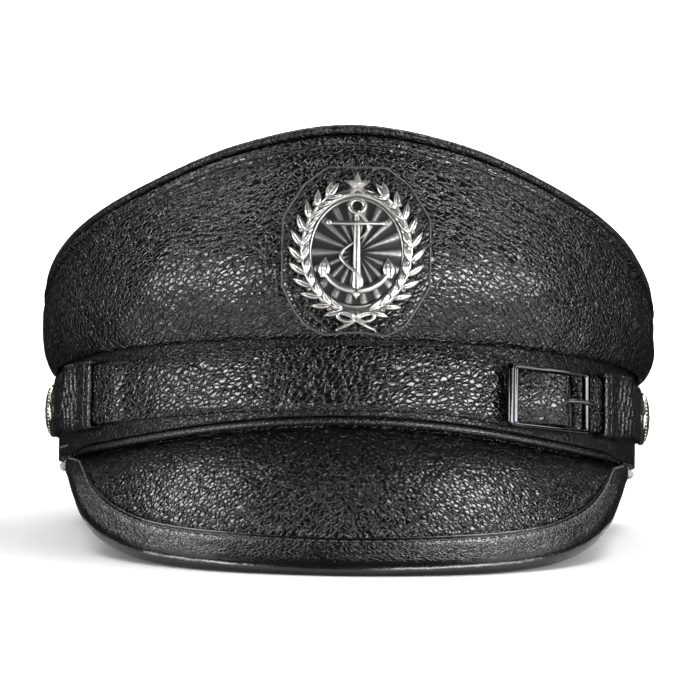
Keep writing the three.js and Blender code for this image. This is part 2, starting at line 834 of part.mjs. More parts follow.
// Slot in the strap's fold where the prong's sleeve turns on the middle bar
function prongSlot() {
  const room = middleBarRadius + fit + sleeveWall + fit;
  const reach = 2 * room + 4;
  const slot = new THREE.BoxGeometry(reach, sleeveLength + 2 * fit, reach);
  slot.translate(buckleMiddle - room + reach / 2, 0, middleBarUp() - room + reach / 2);
  slot.applyMatrix4(buckleMatrix());
  return toSolid(slot);
}

// Plaque surface on the crown's front: across and up from the badge's middle, and out from the
// leather. It follows the crown's curve round the head, and hangs straight below the belly.
function onPlaque(across, up, out) {
  const height = badgeHeight + up;
  const turn = turnAfter(0, (badgeSide + across) * (bandHalfDepth / (bandHalfDepth + bulgeFront)));
  const share = (height - crownFoot) / (crownTop(0) - topRoll - crownFoot);
  const face = share > bellyShare ? crownOut(turn, share) : crownOut(turn, bellyShare);
  return onBand(turn, face + out, height);
}

// Sheet on the plaque surface inside an outline of [across, up] corners round its middle
function plaqueSheet(outline, low, high) {
  const shares = [1, 0.6, 0.25];
  const sections = outline.map(([across, up]) => {
    const layer = (out) => shares.map((share) => [across * share, up * share, out]);
    return [[0, 0, low], ...layer(low).reverse(), ...layer(high), [0, 0, high]];
  });
  return loft(sections, (i, [across, up, out]) => onPlaque(across, up, out), true);
}

function patchOutline() {
  const corners = patchCorners.map(({ across, up }) => [across * patchHalfWidth, up * patchHalfHeight]);
  return corners.flatMap(([x, y], i) => {
    const [nextX, nextY] = corners[(i + 1) % corners.length];
    const parts = Math.max(1, Math.round(Math.hypot(nextX - x, nextY - y) / 7));
    const between = (k) => [x + ((nextX - x) * k) / parts, y + ((nextY - y) * k) / parts];
    return Array.from({ length: parts }, (_, k) => between(k));
  });
}

// Places a small shape on the plaque surface, turned in its plane
function setOnPlaque(shape, across, up, out, spin) {
  const centre = onPlaque(across, up, out);
  const right = onPlaque(across + 1, up, out).sub(centre).normalize();
  const rise = onPlaque(across, up + 1, out).sub(centre).normalize();
  const normal = right.clone().cross(rise).normalize();
  const level = normal.clone().cross(right);
  const matrix = new THREE.Matrix4().makeBasis(right, level, normal).setPosition(centre);
  shape.rotateZ(spin);
  shape.applyMatrix4(matrix);
  return toSolid(shape);
}

function leafShape(length, width, rise) {
  const leaf = new THREE.OctahedronGeometry(1, 0);
  leaf.scale(length / 2, width / 2, rise);
  return leaf;
}

function starShape(radius, depth) {
  const shape = new THREE.Shape();
  for (let k = 0; k < 10; k++) {
    const a = Math.PI / 2 + (k * Math.PI) / 5;
    const r = k % 2 ? radius * 0.42 : radius;
    if (k === 0) shape.moveTo(r * Math.cos(a), r * Math.sin(a));
    else shape.lineTo(r * Math.cos(a), r * Math.sin(a));
  }
  return new THREE.ExtrudeGeometry(shape, { depth, bevelEnabled: false });
}

// Cast badge: an anchor on an oval plate inside a wreath of leaves, with a star on top.
// Places on it are shares of its half width and half height.
function badgeGeometry() {
  const base = patchWall + 2 * fit;
  const face = base + badgePlate;
  const plateSteps = 18;
  const plate = Array.from({ length: plateSteps }, (_, k) => {
    const a = (k * 2 * Math.PI) / plateSteps;
    return [0.8 * badgeHalfWidth * Math.cos(a), badgeHalfHeight * (0.84 * Math.sin(a) - 0.03)];
  });
  let badge = toSolid(plaqueSheet(plate, base, face));
  const join = (shape, across, up, out, spin) => {
    badge = badge.add(setOnPlaque(shape, across * badgeHalfWidth, up * badgeHalfHeight, out, spin));
  };
  const leafPairs = 5;
  const lowestLeaf = -78;
  const leafSpan = 128;
  for (const side of [-1, 1]) {
    for (let k = 0; k < leafPairs; k++) {
      const a = THREE.MathUtils.degToRad(lowestLeaf + (k * leafSpan) / (leafPairs - 1));
      for (const { reach, spread } of [{ reach: 1.1, spread: -0.5 }, { reach: 0.92, spread: 0.45 }]) {
        const spin = side > 0 ? a + Math.PI / 2 + spread : Math.PI / 2 - a - spread;
        const leaf = leafShape(leafLength, leafWidth, leafRise);
        join(leaf, side * 0.78 * reach * Math.cos(a), 0.8 * reach * Math.sin(a), face + 0.2, spin);
      }
    }
  }
  const shank = new THREE.CylinderGeometry(0.55 * anchorBar, 0.72 * anchorBar, badgeHalfHeight * 1.06, 6);
  join(shank, 0, -0.02, face + 0.5, 0);
  const stock = new THREE.CylinderGeometry(anchorBar / 2, anchorBar / 2, badgeHalfWidth * 0.72, 6);
  join(stock, 0, 0.36, face + 0.6, Math.PI / 2);
  join(new THREE.TorusGeometry(ringRadius, 0.4 * anchorBar, 6, 10), 0, 0.57, face + 0.4, 0);
  const armRadius = badgeHalfWidth * 0.47;
  const armEnd = THREE.MathUtils.degToRad(20);
  const innerEnd = 1.25 * armEnd;
  const arms = new THREE.Shape();
  arms.absarc(0, 0, armRadius, Math.PI + armEnd, 2 * Math.PI - armEnd, false);
  arms.absarc(0, armRadius * 0.22, armRadius * 0.88, 2 * Math.PI - innerEnd, Math.PI + innerEnd, true);
  const depth = anchorDepth;
  const armBody = new THREE.ExtrudeGeometry(arms, { depth, bevelEnabled: false, curveSegments: 8 });
  join(armBody, 0, -0.17, face - 0.6, 0);
  for (const side of [-1, 1]) {
    const fluke = leafShape(3 * anchorBar, 2.2 * anchorBar, 1.2 * leafRise);
    join(fluke, (side * 0.92 * armRadius) / badgeHalfWidth, -0.27, face + 0.3, Math.PI / 2 + side * 0.45);
  }
  const knot = new THREE.SphereGeometry(knotRadius, 7, 5);
  knot.scale(1, 1, 0.75);
  join(knot, 0, -0.86, face + 0.2, 0);
  join(starShape(starRadius, anchorDepth), 0, 0.86, face - 0.8, 0);
  return fromSolid(badge);
}

// Lean of the resting hat: the angle at which the visor's rim and the back of the sweatband
// are equally low, found by halving
function lowest(geometry, lean) {
  const { array } = geometry.attributes.position;
  let low = Infinity;
  for (let i = 0; i < array.length; i += 3) {
    low = Math.min(low, -array[i + 1] * Math.sin(lean) + array[i + 2] * Math.cos(lean));
  }
  return low;
}

function restLean(front, back) {
  let from = 0;
  let to = Math.PI / 4;
  for (let i = 0; i < 40; i++) {
    const lean = (from + to) / 2;
    if (lowest(front, lean) < lowest(back, lean)) from = lean;
    else to = lean;
  }
  return from;
}

// Everything below the floor that the hat rests on, in the hat's level frame
function floorBlock(lean, height) {
  const size = 4 * visorFront;
  const block = new THREE.BoxGeometry(size, size, size);
  block.translate(0, 0, height - size / 2);
  block.rotateX(lean);
  return toSolid(block);
}

const binding = loft(visorSlices.map(visorBindingSection), placeOnVisor, false);
const sweatband = headRing(sweatbandSection);
const lean = restLean(binding, sweatband);
const floorHeight = lowest(binding, lean) + restFlat;
const floor = floorBlock(lean, floorHeight);

const leather = { color: 0x0b0b0c, roughness: 0.42, metalness: 0 };
const smoothLeather = { color: 0x0e0e0f, roughness: 0.32, metalness: 0 };
const wornLeather = { color: 0x121213, roughness: 0.5, metalness: 0 };
const sweatLeather = { color: 0x8f9092, roughness: 0.7, metalness: 0 };
const darkChrome = { color: 0x3d3e44, roughness: 0.12, metalness: 1 };
const agedSilver = { color: 0xa9a7a0, roughness: 0.32, metalness: 1 };
const brightSilver = { color: 0xd8d4c6, roughness: 0.18, metalness: 1 };

const hat = new THREE.Group();
function addPiece(name, geometry, finish, matrix) {
  const mesh = new THREE.Mesh(geometry, new THREE.MeshStandardMaterial(finish));
  mesh.name = name;
  if (matrix) matrix.decompose(mesh.position, mesh.quaternion, mesh.scale);
  hat.add(mesh);
}

const bores = postBore(-buttonTurn).add(postBore(buttonTurn));
const strapMain = toSolid(strapMainGeometry()).subtract(bores).subtract(prongSlot());
addPiece('crown_wall', headRing(crownWallSection), leather);
addPiece('crown_top', crownTopGeometry(), leather);
addPiece('headband', fromSolid(toSolid(headRing(headbandSection)).subtract(bores)), leather);
addPiece('sweatband', fromSolid(toSolid(sweatband).subtract(floor)), sweatLeather);
addPiece('band_piping', headRun(-pipingTurn, pipingTurn, 28, pipingSection), smoothLeather);
addPiece('visor_panel', loft(visorSlices.map(visorPanelSection), placeOnVisor, false), leather);
addPiece('visor_binding', fromSolid(toSolid(binding).subtract(floor)), smoothLeather);
addPiece('strap_main', fromSolid(strapMain), leather);
addPiece('strap_end', fromSolid(toSolid(strapEndGeometry()).subtract(bores)), leather);
addPiece('keeper_left', keeperGeometry(-keeperTurn, strapHalf(-keeperTurn)), wornLeather);
addPiece('keeper_right', keeperGeometry(keeperTurn, strapEndWidth / 2), wornLeather);
addPiece('buckle_frame', buckleFrameGeometry(), darkChrome, buckleMatrix());
addPiece('buckle_prong', prongGeometry(), darkChrome, buckleMatrix());
addPiece('button_left', buttonGeometry(), brightSilver, buttonMatrix(-buttonTurn));
addPiece('button_right', buttonGeometry(), brightSilver, buttonMatrix(buttonTurn));
addPiece('badge_patch', plaqueSheet(patchOutline(), fit, fit + patchWall), smoothLeather);
addPiece('badge', badgeGeometry(), agedSilver);

// Rest the hat: lean it back, with its lowest faces at height zero and its box centred
hat.rotation.x = -lean;
const resting = new THREE.Group();
resting.add(hat);
resting.updateMatrixWorld(true);
const box = new THREE.Box3().setFromObject(resting, true);
hat.position.set(-(box.min.x + box.max.x) / 2, -(box.min.y + box.max.y) / 2, -floorHeight);

export default resting;
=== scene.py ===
from math import atan2, copysign, cos, hypot, pi, radians, sin

import bmesh
import bpy
import numpy as np
from mathutils import Matrix, Vector


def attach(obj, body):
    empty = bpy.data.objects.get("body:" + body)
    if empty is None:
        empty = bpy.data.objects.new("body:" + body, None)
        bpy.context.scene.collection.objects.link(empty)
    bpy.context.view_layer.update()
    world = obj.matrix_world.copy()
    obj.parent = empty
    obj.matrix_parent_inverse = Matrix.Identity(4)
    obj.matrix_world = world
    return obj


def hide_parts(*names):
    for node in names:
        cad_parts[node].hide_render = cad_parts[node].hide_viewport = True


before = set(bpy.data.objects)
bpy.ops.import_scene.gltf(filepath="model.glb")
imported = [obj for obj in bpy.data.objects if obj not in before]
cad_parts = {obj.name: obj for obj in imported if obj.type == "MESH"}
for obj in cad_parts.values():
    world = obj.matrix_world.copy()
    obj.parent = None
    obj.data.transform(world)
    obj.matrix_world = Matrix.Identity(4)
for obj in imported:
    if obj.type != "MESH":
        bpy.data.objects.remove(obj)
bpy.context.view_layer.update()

# Lengths are millimetres in the hat's own level frame, as in the part's source, and turns are
# degrees round the head from the front towards +X. to_world() leans the hat and makes metres.
LEAN = 0.164334
PLACE = np.array([0.0083, 17.6156, 19.3162])
# gap between neighbours
FIT = 0.3
BAND_W, BAND_D, BAND_TOP, BAND_WALL, BAND_DIP = 86.0, 106.0, 29.0, 1.4, 4.2
SWEAT_WALL, SWEAT_TOP, SWEAT_BEAD = 1.3, 27.0, 1.25
CROWN_FOOT, CROWN_WALL = 23.6, 2.0
CROWN_FRONT, CROWN_BACK, CROWN_MIDDLE = 83.4, 47.0, 58.0
BULGE_FRONT, BULGE_SIDE, LEAN_FRONT, LEAN_SIDE = 8.0, 5.8, 2.2, 4.2
FOOT_OUT, TOP_ROLL, TOP_WALL, SEAM_STRIP, LIP = 1.7, 3.0, 1.8, 3.3, 4.5
BELLY = 0.4
VISOR_TURN, VISOR_W, VISOR_FRONT, VISOR_DROP, VISOR_BOW = 76.0, 84.2, 147.0, 43.8, 5.0
# the binding's seam lies 2.1 mm further in here than on the solid
VISOR_WALL, TAB_WALL, TAB_HEIGHT, BINDING_W, BINDING_WALL = 2.2, 1.5, 6.0, 11.6, 1.0
PIPING_R, PIPING_TURN = 1.1, 66.0
STRAP_HEIGHT, STRAP_W, STRAP_WALL, FOLD_WALL, STRAP_END_W, TAIL = 12.8, 17.8, 1.8, 1.3, 15.6, 11.0
KEEPER_TURN, KEEPER_LENGTH, KEEPER_WALL, KEEPER_MARGIN, KEEPER_RAMP = 59.6, 20.0, 1.1, 6.2, 10.6
BUCKLE_TURN, BUCKLE_L, BUCKLE_H, BUCKLE_T = 38.4, 33.0, 17.8, 2.0
SIDE_BAR, LEFT_BAR, RIGHT_BAR, MIDDLE, BAR_R, PRONG_R = 1.5, 3.6, 2.6, 5.0, 0.8, 0.85
BUTTON_TURN, BUTTON_R, BUTTON_T = 96.0, 8.0, 3.4
BADGE_SIDE, PATCH_W, PATCH_H, PATCH_WALL = 1.8, 19.6, 23.7, 1.6
BADGE_UP, BADGE_W, BADGE_H, BADGE_PLATE = 47.0, 17.6, 21.1, 1.2

# turn, left and right: the crown's height as a share from its back's to its front's
CROWN_RISE = [
    (0, 1, 1), (20, 0.875, 0.89), (40, 0.635, 0.655), (60, 0.41, 0.4), (72, 0.26, 0.21),
    (85, 0.12, 0.055), (115, 0.03, 0), (150, 0.01, 0), (180, 0, 0),
]
# along, side, ahead, drop: the visor's rim
VISOR_RIM = [
    (0, 0, 1, 1), (0.2, 0.375, 0.945, 0.965), (0.4, 0.635, 0.81, 0.885), (0.54, 0.782, 0.665, 0.755),
    (0.66, 0.865, 0.53, 0.59), (0.78, 0.918, 0.37, 0.39), (0.9, 0.955, 0.19, 0.23), (1, 0.975, 0.05, 0.16),
]
# turn, lift, width: the strap
STRAP_RUN = [
    (-115, 0.1, 0.94), (-96, 0.085, 0.95), (-55, -0.06, 0.96), (0, 0, 1), (20, 0, 1.07),
    (32, -0.125, 1.02), (44, -0.165, 0.86), (60, -0.085, 0.86), (96, 0.085, 0.86), (115, 0.1, 0.86),
]
# across, up: the patch's corners
PATCH = [
    (-0.41, 1), (0.41, 1), (0.73, 0.79), (1, 0.4), (1, -0.4), (0.67, -0.86), (0.4, -1), (0.13, -0.96),
    (-0.13, -0.96), (-0.4, -1), (-0.67, -0.88), (-0.83, -0.7), (-1, -0.4), (-1, 0.4), (-0.73, 0.79),
]


# Curves and places
def smooth(rows, column, at, level=True):
    xs = np.array([r[0] for r in rows], float)
    ys = np.array([r[column] for r in rows], float)
    at = np.clip(np.asarray(at, float), xs[0], xs[-1])
    last = len(xs) - 1
    slopes = np.array([
        (ys[min(j + 1, last)] - ys[max(j - 1, 0)]) / (xs[min(j + 1, last)] - xs[max(j - 1, 0)])
        for j in range(last + 1)
    ])
    if level:
        slopes[0] = 0
    i = np.clip(np.searchsorted(xs, at, side="right") - 1, 0, last - 1)
    span = xs[i + 1] - xs[i]
    t = (at - xs[i]) / span
    rise = ys[i + 1] - ys[i]
    m0, m1 = slopes[i] * span, slopes[i + 1] * span
    return ys[i] + m0 * t + (3 * rise - 2 * m0 - m1) * t**2 + (m0 + m1 - 2 * rise) * t**3


def step(x, low, high):
    t = np.clip((np.asarray(x, float) - low) / (high - low), 0, 1)
    return t * t * (3 - 2 * t)


def mix(a, b, t):
    return a + (b - a) * t


def hump(x, middle, width):
    return np.exp(-(((x - middle) / width) ** 2))


def unit(v):
    return v / np.maximum(np.linalg.norm(v, axis=-1, keepdims=True), 1e-9)


def outward(turn):
    a = np.radians(turn)
    return unit(np.stack([BAND_D * np.sin(a), -BAND_W * np.cos(a), 0 * a], -1))


def on_band(turn, out, up):
    turn, out, up = np.broadcast_arrays(np.asarray(turn, float), np.asarray(out, float),
                                        np.asarray(up, float))
    a = np.radians(turn)
    return np.stack([BAND_W * np.sin(a), -BAND_D * np.cos(a), up], -1) + outward(turn) * out[..., None]


_turns = np.linspace(-180, 180, 7201)
_speed = np.radians(np.hypot(BAND_W * np.cos(np.radians(_turns)), BAND_D * np.sin(np.radians(_turns))))
_run = np.concatenate([[0], np.cumsum((_speed[1:] + _speed[:-1]) / 2 * np.diff(_turns))])
_run -= np.interp(0, _turns, _run)


def length_at(turn):
    return np.interp(turn, _turns, _run)


def turn_at(length):
    return np.interp(length, _run, _turns)


def turn_after(turn, length):
    return turn_at(length_at(turn) + length)


def band_curve(turn):
    a = radians(turn)
    return hypot(BAND_W * cos(a), BAND_D * sin(a)) ** 3 / (BAND_W * BAND_D)


def to_world(points):
    points = np.asarray(points, float)
    c, s = cos(LEAN), sin(LEAN)
    y = points[..., 1] * c + points[..., 2] * s
    z = -points[..., 1] * s + points[..., 2] * c
    world = np.stack([points[..., 0], y, z], -1) + PLACE
    return world / 1000


def ripple(x, y, seed=0.0):
    """Smooth repeatable unevenness between about -1 and 1."""
    return (
        np.sin(1.0 * x + 1.7 * y + seed) + np.sin(-1.9 * x + 0.8 * y + 2.1 * seed + 1)
        + 0.6 * np.sin(2.7 * x + 2.3 * y + 3.3 * seed + 2) + 0.4 * np.sin(-4.1 * x + 3.1 * y + seed + 4)
    ) / 3


# Meshes
def make(name, verts, faces, material, replaces=(), slot=None, uv=None, high=None, merge=False, flat=False):
    mesh = bpy.data.meshes.new(name)
    mesh.from_pydata([tuple(v) for v in verts], [], [tuple(f) for f in faces])
    if uv is not None:
        layer = mesh.uv_layers.new(name="grain")
        layer.data.foreach_set("uv", np.asarray(uv, np.float32).ravel())
    if high is not None:
        values = mesh.attributes.new("high", "FLOAT", "POINT").data
        values.foreach_set("value", np.asarray(high, np.float32))
    if merge:
        bm = bmesh.new()
        bm.from_mesh(mesh)
        bmesh.ops.remove_doubles(bm, verts=bm.verts, dist=1e-6)
        bmesh.ops.recalc_face_normals(bm, faces=bm.faces)
        bm.to_mesh(mesh)
        bm.free()
    mesh.validate()
    if not flat:
        mesh.polygons.foreach_set("use_smooth", [True] * len(mesh.polygons))
    piece = bpy.data.objects.new(name, mesh)
    bpy.context.scene.collection.objects.link(piece)
    mesh.materials.append(material)
    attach(piece, "root")
    if replaces:
        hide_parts(*replaces)
    return piece


def grid(points, ring=False, loop=False, caps=False, u=None, v=None):
    """Vertices, quads and loop coordinates in millimetres of an (n, m, 3) grid of points."""
    points = np.asarray(points, float)
    n, m = points.shape[:2]
    if u is None:
        middle = points.mean(axis=1)
        ahead = np.vstack([middle, middle[:1]]) if ring else middle
        u = np.concatenate([[0], np.cumsum(np.linalg.norm(np.diff(ahead, axis=0), axis=1))])
    if v is None:
        across = np.concatenate([points, points[:, :1]], axis=1) if loop else points
        steps = np.linalg.norm(np.diff(across, axis=1), axis=2)
        v = np.concatenate([np.zeros((n, 1)), np.cumsum(steps, axis=1)], axis=1)
    i, j = np.meshgrid(np.arange(n if ring else n - 1), np.arange(m if loop else m - 1), indexing="ij")
    i, j = i.ravel(), j.ravel()
    i1, j1 = (i + 1) % n, (j + 1) % m
    quads = np.stack([i * m + j, i1 * m + j, i1 * m + j1, i * m + j1], 1)
    uv = np.stack([u[i], v[i, j], u[i + 1], v[i1, j], u[i + 1], v[i1, j + 1], u[i], v[i, j + 1]], 1)
    a, b, c, d = (points.reshape(-1, 3)[quads[:, k]] for k in range(4))
    volume = (np.einsum("ij,ij->i", a, np.cross(b, c)) + np.einsum("ij,ij->i", a, np.cross(c, d))).sum()
    faces = [list(q) for q in quads]
    uv = [list(r.reshape(4, 2)) for r in uv]
    if caps and loop and not ring:
        faces.append(list(range(m - 1, -1, -1)))
        faces.append([(n - 1) * m + k for k in range(m)])
        uv.append([[u[0], v[0, k]] for k in range(m - 1, -1, -1)])
        uv.append([[u[-1], v[-1, k]] for k in range(m)])
    if volume < 0:
        faces = [f[::-1] for f in faces]
        uv = [r[::-1] for r in uv]
    return points.reshape(-1, 3), faces, [c for r in uv for c in r]


def shell(name, points, material, ring=False, loop=False, caps=False, u=None, v=None, **more):
    verts, faces, uv = grid(points, ring, loop, caps, u, v)
    return make(name, to_world(verts), faces, material, uv=uv, **more)


def joined(name, parts, material, **more):
    """Several bodies of vertices, faces, loop coordinates and, for some, high values as one piece."""
    verts, faces, uv, high, base = [], [], [], [], 0
    for body in parts:
        verts.append(np.asarray(body[0]))
        faces += [[k + base for k in f] for f in body[1]]
        uv += list(body[2])
        high.append(body[3] if len(body) > 3 else np.ones(len(body[0])))
        base += len(body[0])
    return make(name, to_world(np.vstack(verts)), faces, material, uv=uv, high=np.concatenate(high), **more)


def rounded(points, radius, steps=3):
    """Closed outlines (..., k, 2) with their corners rounded."""
    points = np.asarray(points, float)
    radius = np.broadcast_to(np.asarray(radius, float), points.shape[:-1])[..., None]

    def towards(other):
        d = other - points
        far = np.maximum(np.linalg.norm(d, axis=-1, keepdims=True), 1e-6)
        return points + d / far * np.minimum(radius, 0.47 * far)

    a, b = towards(np.roll(points, 1, axis=-2)), towards(np.roll(points, -1, axis=-2))
    rows = [(1 - s) ** 2 * a + 2 * s * (1 - s) * points + s * s * b for s in np.linspace(0, 1, steps + 1)]
    return np.stack(rows, -2).reshape(*points.shape[:-2], -1, 2)


def stack(*columns):
    """Section corners from (out, up) pairs of arrays."""
    wide = np.broadcast_arrays(*[c for pair in columns for c in pair])
    return np.stack([np.stack(wide[0::2], -1), np.stack(wide[1::2], -1)], -1)


def ring_turns(count):
    return np.arange(count) * 360 / count - 180


def ring_run(turns):
    """Length round the band at each turn of a ring, and at its end."""
    return np.concatenate([length_at(turns), [length_at(180)]])


def circle(count):
    return np.arange(count) * 2 * pi / count


def head_ring(name, section, material, **more):
    turns = ring_turns(360)
    outline = rounded(section(turns), 0.5)
    points = on_band(turns[:, None], outline[..., 0], outline[..., 1])
    return shell(name, points, material, ring=True, loop=True, u=ring_run(turns), **more)


def sweep(path, radius, sides=10, flatten=1.0):
    """A tube along points in a flat (x, y, z) space, with z up."""
    path = np.asarray(path, float)
    radius = np.broadcast_to(np.asarray(radius, float), (len(path),))
    tangent = unit(np.gradient(path, axis=0))
    side = unit(np.cross(np.array([0.0, 0.0, 1.0]), tangent))
    rise = np.cross(tangent, side)
    a = circle(sides)
    points = (
        path[:, None] + side[:, None] * (radius[:, None] * np.cos(a))[..., None]
        + rise[:, None] * (flatten * radius[:, None] * np.sin(a))[..., None]
    )
    return points


# Materials
class Paint:
    """A node material built by short calls."""

    def __init__(self, name):
        self.material = bpy.data.materials.new(name)
        self.material.use_nodes = True
        self.tree = self.material.node_tree
        self.shader = self.tree.nodes["Principled BSDF"]

    def node(self, kind, inputs=None, **settings):
        node = self.tree.nodes.new("ShaderNode" + kind)
        for key, value in settings.items():
            setattr(node, key, value)
        for key, value in (inputs or {}).items():
            self.put(node.inputs[key], value)
        return node

    def put(self, socket, value):
        if isinstance(value, bpy.types.NodeSocket):
            self.tree.links.new(value, socket)
        else:
            socket.default_value = value

    def math(self, kind, a, b=0.0, c=0.0):
        return self.node("Math", {0: a, 1: b, 2: c}, operation=kind).outputs[0]

    def fade(self, value, low, high, to_low=0.0, to_high=1.0):
        inputs = {"Value": value, "From Min": low, "From Max": high, "To Min": to_low, "To Max": to_high}
        return self.node("MapRange", inputs, interpolation_type="SMOOTHSTEP").outputs[0]

    def blend(self, factor, a, b):
        node = self.node("Mix", {0: factor}, data_type="RGBA")
        self.put(node.inputs[6], a)
        self.put(node.inputs[7], b)
        return node.outputs[2]

    def noise(self, vector, scale, detail=3.0, roughness=0.55):
        inputs = {"Vector": vector, "Scale": scale, "Detail": detail, "Roughness": roughness}
        return self.node("TexNoise", inputs).outputs

    def vector(self, kind, *values):
        return self.node("VectorMath", dict(enumerate(values)), operation=kind).outputs

    def mapped(self, vector, **inputs):
        return self.node("Mapping", {"Vector": vector, **inputs}).outputs[0]

    def cells(self, vector, randomness, feature="F1"):
        inputs = {"Vector": vector, "Scale": 1.0, "Randomness": randomness}
        return self.node("TexVoronoi", inputs, voronoi_dimensions="2D", feature=feature).outputs

    def high(self):
        return self.node("Attribute", attribute_name="high").outputs["Fac"]

    def grain(self):
        return self.node("UVMap", uv_map="grain").outputs[0]

    def place(self):
        return self.node("TexCoord").outputs["Object"]

    def bump(self, height, distance, under=None):
        inputs = {"Height": height, "Distance": distance, "Strength": 1.0}
        if under is not None:
            inputs["Normal"] = under
        return self.node("Bump", inputs).outputs[0]

    def shade(self, **values):
        for key, value in values.items():
            self.put(self.shader.inputs[key.replace("_", " ")], value)
        return self.material


def creases(paint, surface, cell, long, angle, seed):
    """Height of pebbled grain, 1 on the pebbles and 0 in the creases, with longer creases across it."""
    half = (-0.5, -0.5, -0.5)
    turned = paint.mapped(surface, Rotation=(0, 0, -radians(angle)), Location=(seed, seed / 2, 0),
                          Scale=(1 / cell, 1 / cell, 1))
    drift = paint.vector("ADD", paint.noise(turned, 0.5, 2.0)["Color"], half)[0]
    moved = paint.vector("MULTIPLY_ADD", drift, (1.3, 1.3, 0), turned)[0]
    small = paint.mapped(moved, Scale=(0.76, 1.2, 1))
    large = paint.mapped(moved, Scale=(0.4 / long, 0.62, 1), Location=(3.3, 1.7, 0))
    pebbles = paint.cells(small, 0.95)
    crack_width, fold_width = 0.18, 0.11
    crack = paint.fade(paint.cells(small, 0.95, "DISTANCE_TO_EDGE")["Distance"], 0.0, crack_width)
    fold = paint.fade(paint.cells(large, 0.9, "DISTANCE_TO_EDGE")["Distance"], 0.0, fold_width)
    away = paint.vector("SUBTRACT", small, pebbles["Position"])[0]
    lean = paint.vector("ADD", pebbles["Color"], half)[0]
    tilt = paint.vector("DOT_PRODUCT", away, lean)["Value"]
    dome = paint.math("MULTIPLY", pebbles["Distance"], pebbles["Distance"])
    fine = paint.noise(moved, 3.4, 3.0, 0.6)[0]
    roundness, tilting, unevenness = 0.8, 0.28, 0.04
    body = paint.math("MULTIPLY_ADD", dome, -roundness, 1.0)
    body = paint.math("MULTIPLY_ADD", tilt, tilting, body)
    body = paint.math("MULTIPLY_ADD", fine, unevenness, body)
    pebble = paint.math("MULTIPLY", crack, body)
    height = paint.math("ADD", fold, pebble)
    return height, paint.math("MULTIPLY", crack, fold)


def leather(name, cell=1.35, depth=0.18, colour=0.003, rough=0.15, long=1.6, angle=32, seed=0.0,
            mirrored=False, crease_shade=0.2, swell=0.35, masked=False, specular=0.5):
    """Pebbled leather: pebbles are cell mm across, creases depth mm deep and slow waves swell mm high, and
    the creases are coloured darker as painted shade.
    """
    paint = Paint(name)
    surface = paint.grain()
    height, crack = creases(paint, surface, cell, long, angle, seed)
    if mirrored:
        right_height, right_crack = creases(paint, surface, cell, long, -angle, seed + 19)
        run = paint.node("SeparateXYZ", {0: surface}).outputs[0]
        wobble = paint.math("MULTIPLY_ADD", paint.noise(surface, 0.06)[0], 60.0, -30.0)
        side = paint.fade(paint.math("ADD", run, wobble), -3.0, 3.0)
        height = paint.node("Mix", {0: side, 2: height, 3: right_height}).outputs[0]
        crack = paint.node("Mix", {0: side, 2: crack, 3: right_crack}).outputs[0]
    if masked:
        height = paint.math("MULTIPLY", height, paint.high())
    slow = paint.noise(surface, 0.09)[0]
    tone = paint.fade(slow, 0.3, 0.7, 0.7, 1.3)
    # painted shade: the creases are coloured darker than the pebbles
    base = paint.blend(crack, (colour * crease_shade,) * 3 + (1,), (colour, colour, colour * 1.04, 1))
    toned = paint.node("VectorMath", {0: base, "Scale": tone}, operation="SCALE").outputs[0]
    gloss = paint.math("ADD", paint.fade(crack, 0.0, 1.0, rough + 0.1, rough),
                       paint.fade(slow, 0.25, 0.75, -0.03, 0.03))
    normal = paint.bump(paint.noise(surface, 2.6)[0], 0.00001)
    normal = paint.bump(paint.noise(surface, 0.16, 2.0)[0], swell / 1000, under=normal)
    normal = paint.bump(height, depth / 1000, under=normal)
    paint.shade(Base_Color=toned, Roughness=gloss, Normal=normal)
    paint.shader.inputs["Specular IOR Level"].default_value = specular
    return paint.material


def metal(name, bright, dark, rough, scratch=0.00002, speckle=0.25):
    """Metal that is bright where its high attribute is 1 and dark and rougher in the recesses: painted
    shade, which on the badge also stands for its antiqued finish.
    """
    paint = Paint(name)
    spot = paint.place()
    cloud = paint.noise(spot, 900.0, 4.0)[0]
    # painted shade: the high attribute, how far out each point stands, blends towards the dark colour in
    # the recesses
    level = paint.math("ADD", paint.high(), paint.math("MULTIPLY_ADD", cloud, speckle, -speckle / 2))
    level = paint.fade(level, 0.1, 0.9)
    paint.shade(
        Base_Color=paint.blend(level, dark + (1,), bright + (1,)),
        Roughness=paint.math("ADD", paint.fade(level, 0, 1, rough + 0.25, rough),
                             paint.fade(paint.noise(spot, 300.0)[0], 0.3, 0.7, -0.03, 0.05)),
        Normal=paint.bump(paint.noise(spot, 2500.0, 4.0)[0], scratch),
        Metallic=1.0,
    )
    return paint.material


LEATHER_CROWN = leather("crown_leather", mirrored=True)
LEATHER_TOP = leather("top_leather", cell=1.6, depth=0.24, rough=0.36, seed=31, specular=0.3)
LEATHER_VISOR = leather("visor_leather", depth=0.2, angle=58, seed=57, mirrored=True)
LEATHER_STRAP = leather("strap_leather", cell=1.5, depth=0.22, long=1.0, angle=20, seed=83)
LEATHER_FINE = leather("fine_leather", cell=0.8, depth=0.05, colour=0.004, rough=0.24, seed=11, long=1.0)
LEATHER_BINDING = leather("binding_leather", cell=0.9, depth=0.045, colour=0.004, rough=0.2, seed=15,
                          long=1.0, masked=True)
LEATHER_BAND = leather("band_leather", cell=1.1, depth=0.12, colour=0.002, rough=0.3, seed=23, long=1.0,
                       specular=0.3)
LEATHER_PATCH = leather("patch_leather", depth=0.2, rough=0.2, seed=41)
LEATHER_KEEPER = leather("keeper_leather", cell=1.2, depth=0.06, rough=0.22, seed=67, long=1.0)
LEATHER_SWEAT = leather("sweat_leather", cell=0.8, depth=0.05, colour=0.3, rough=0.6, seed=5,
                        crease_shade=0.8)
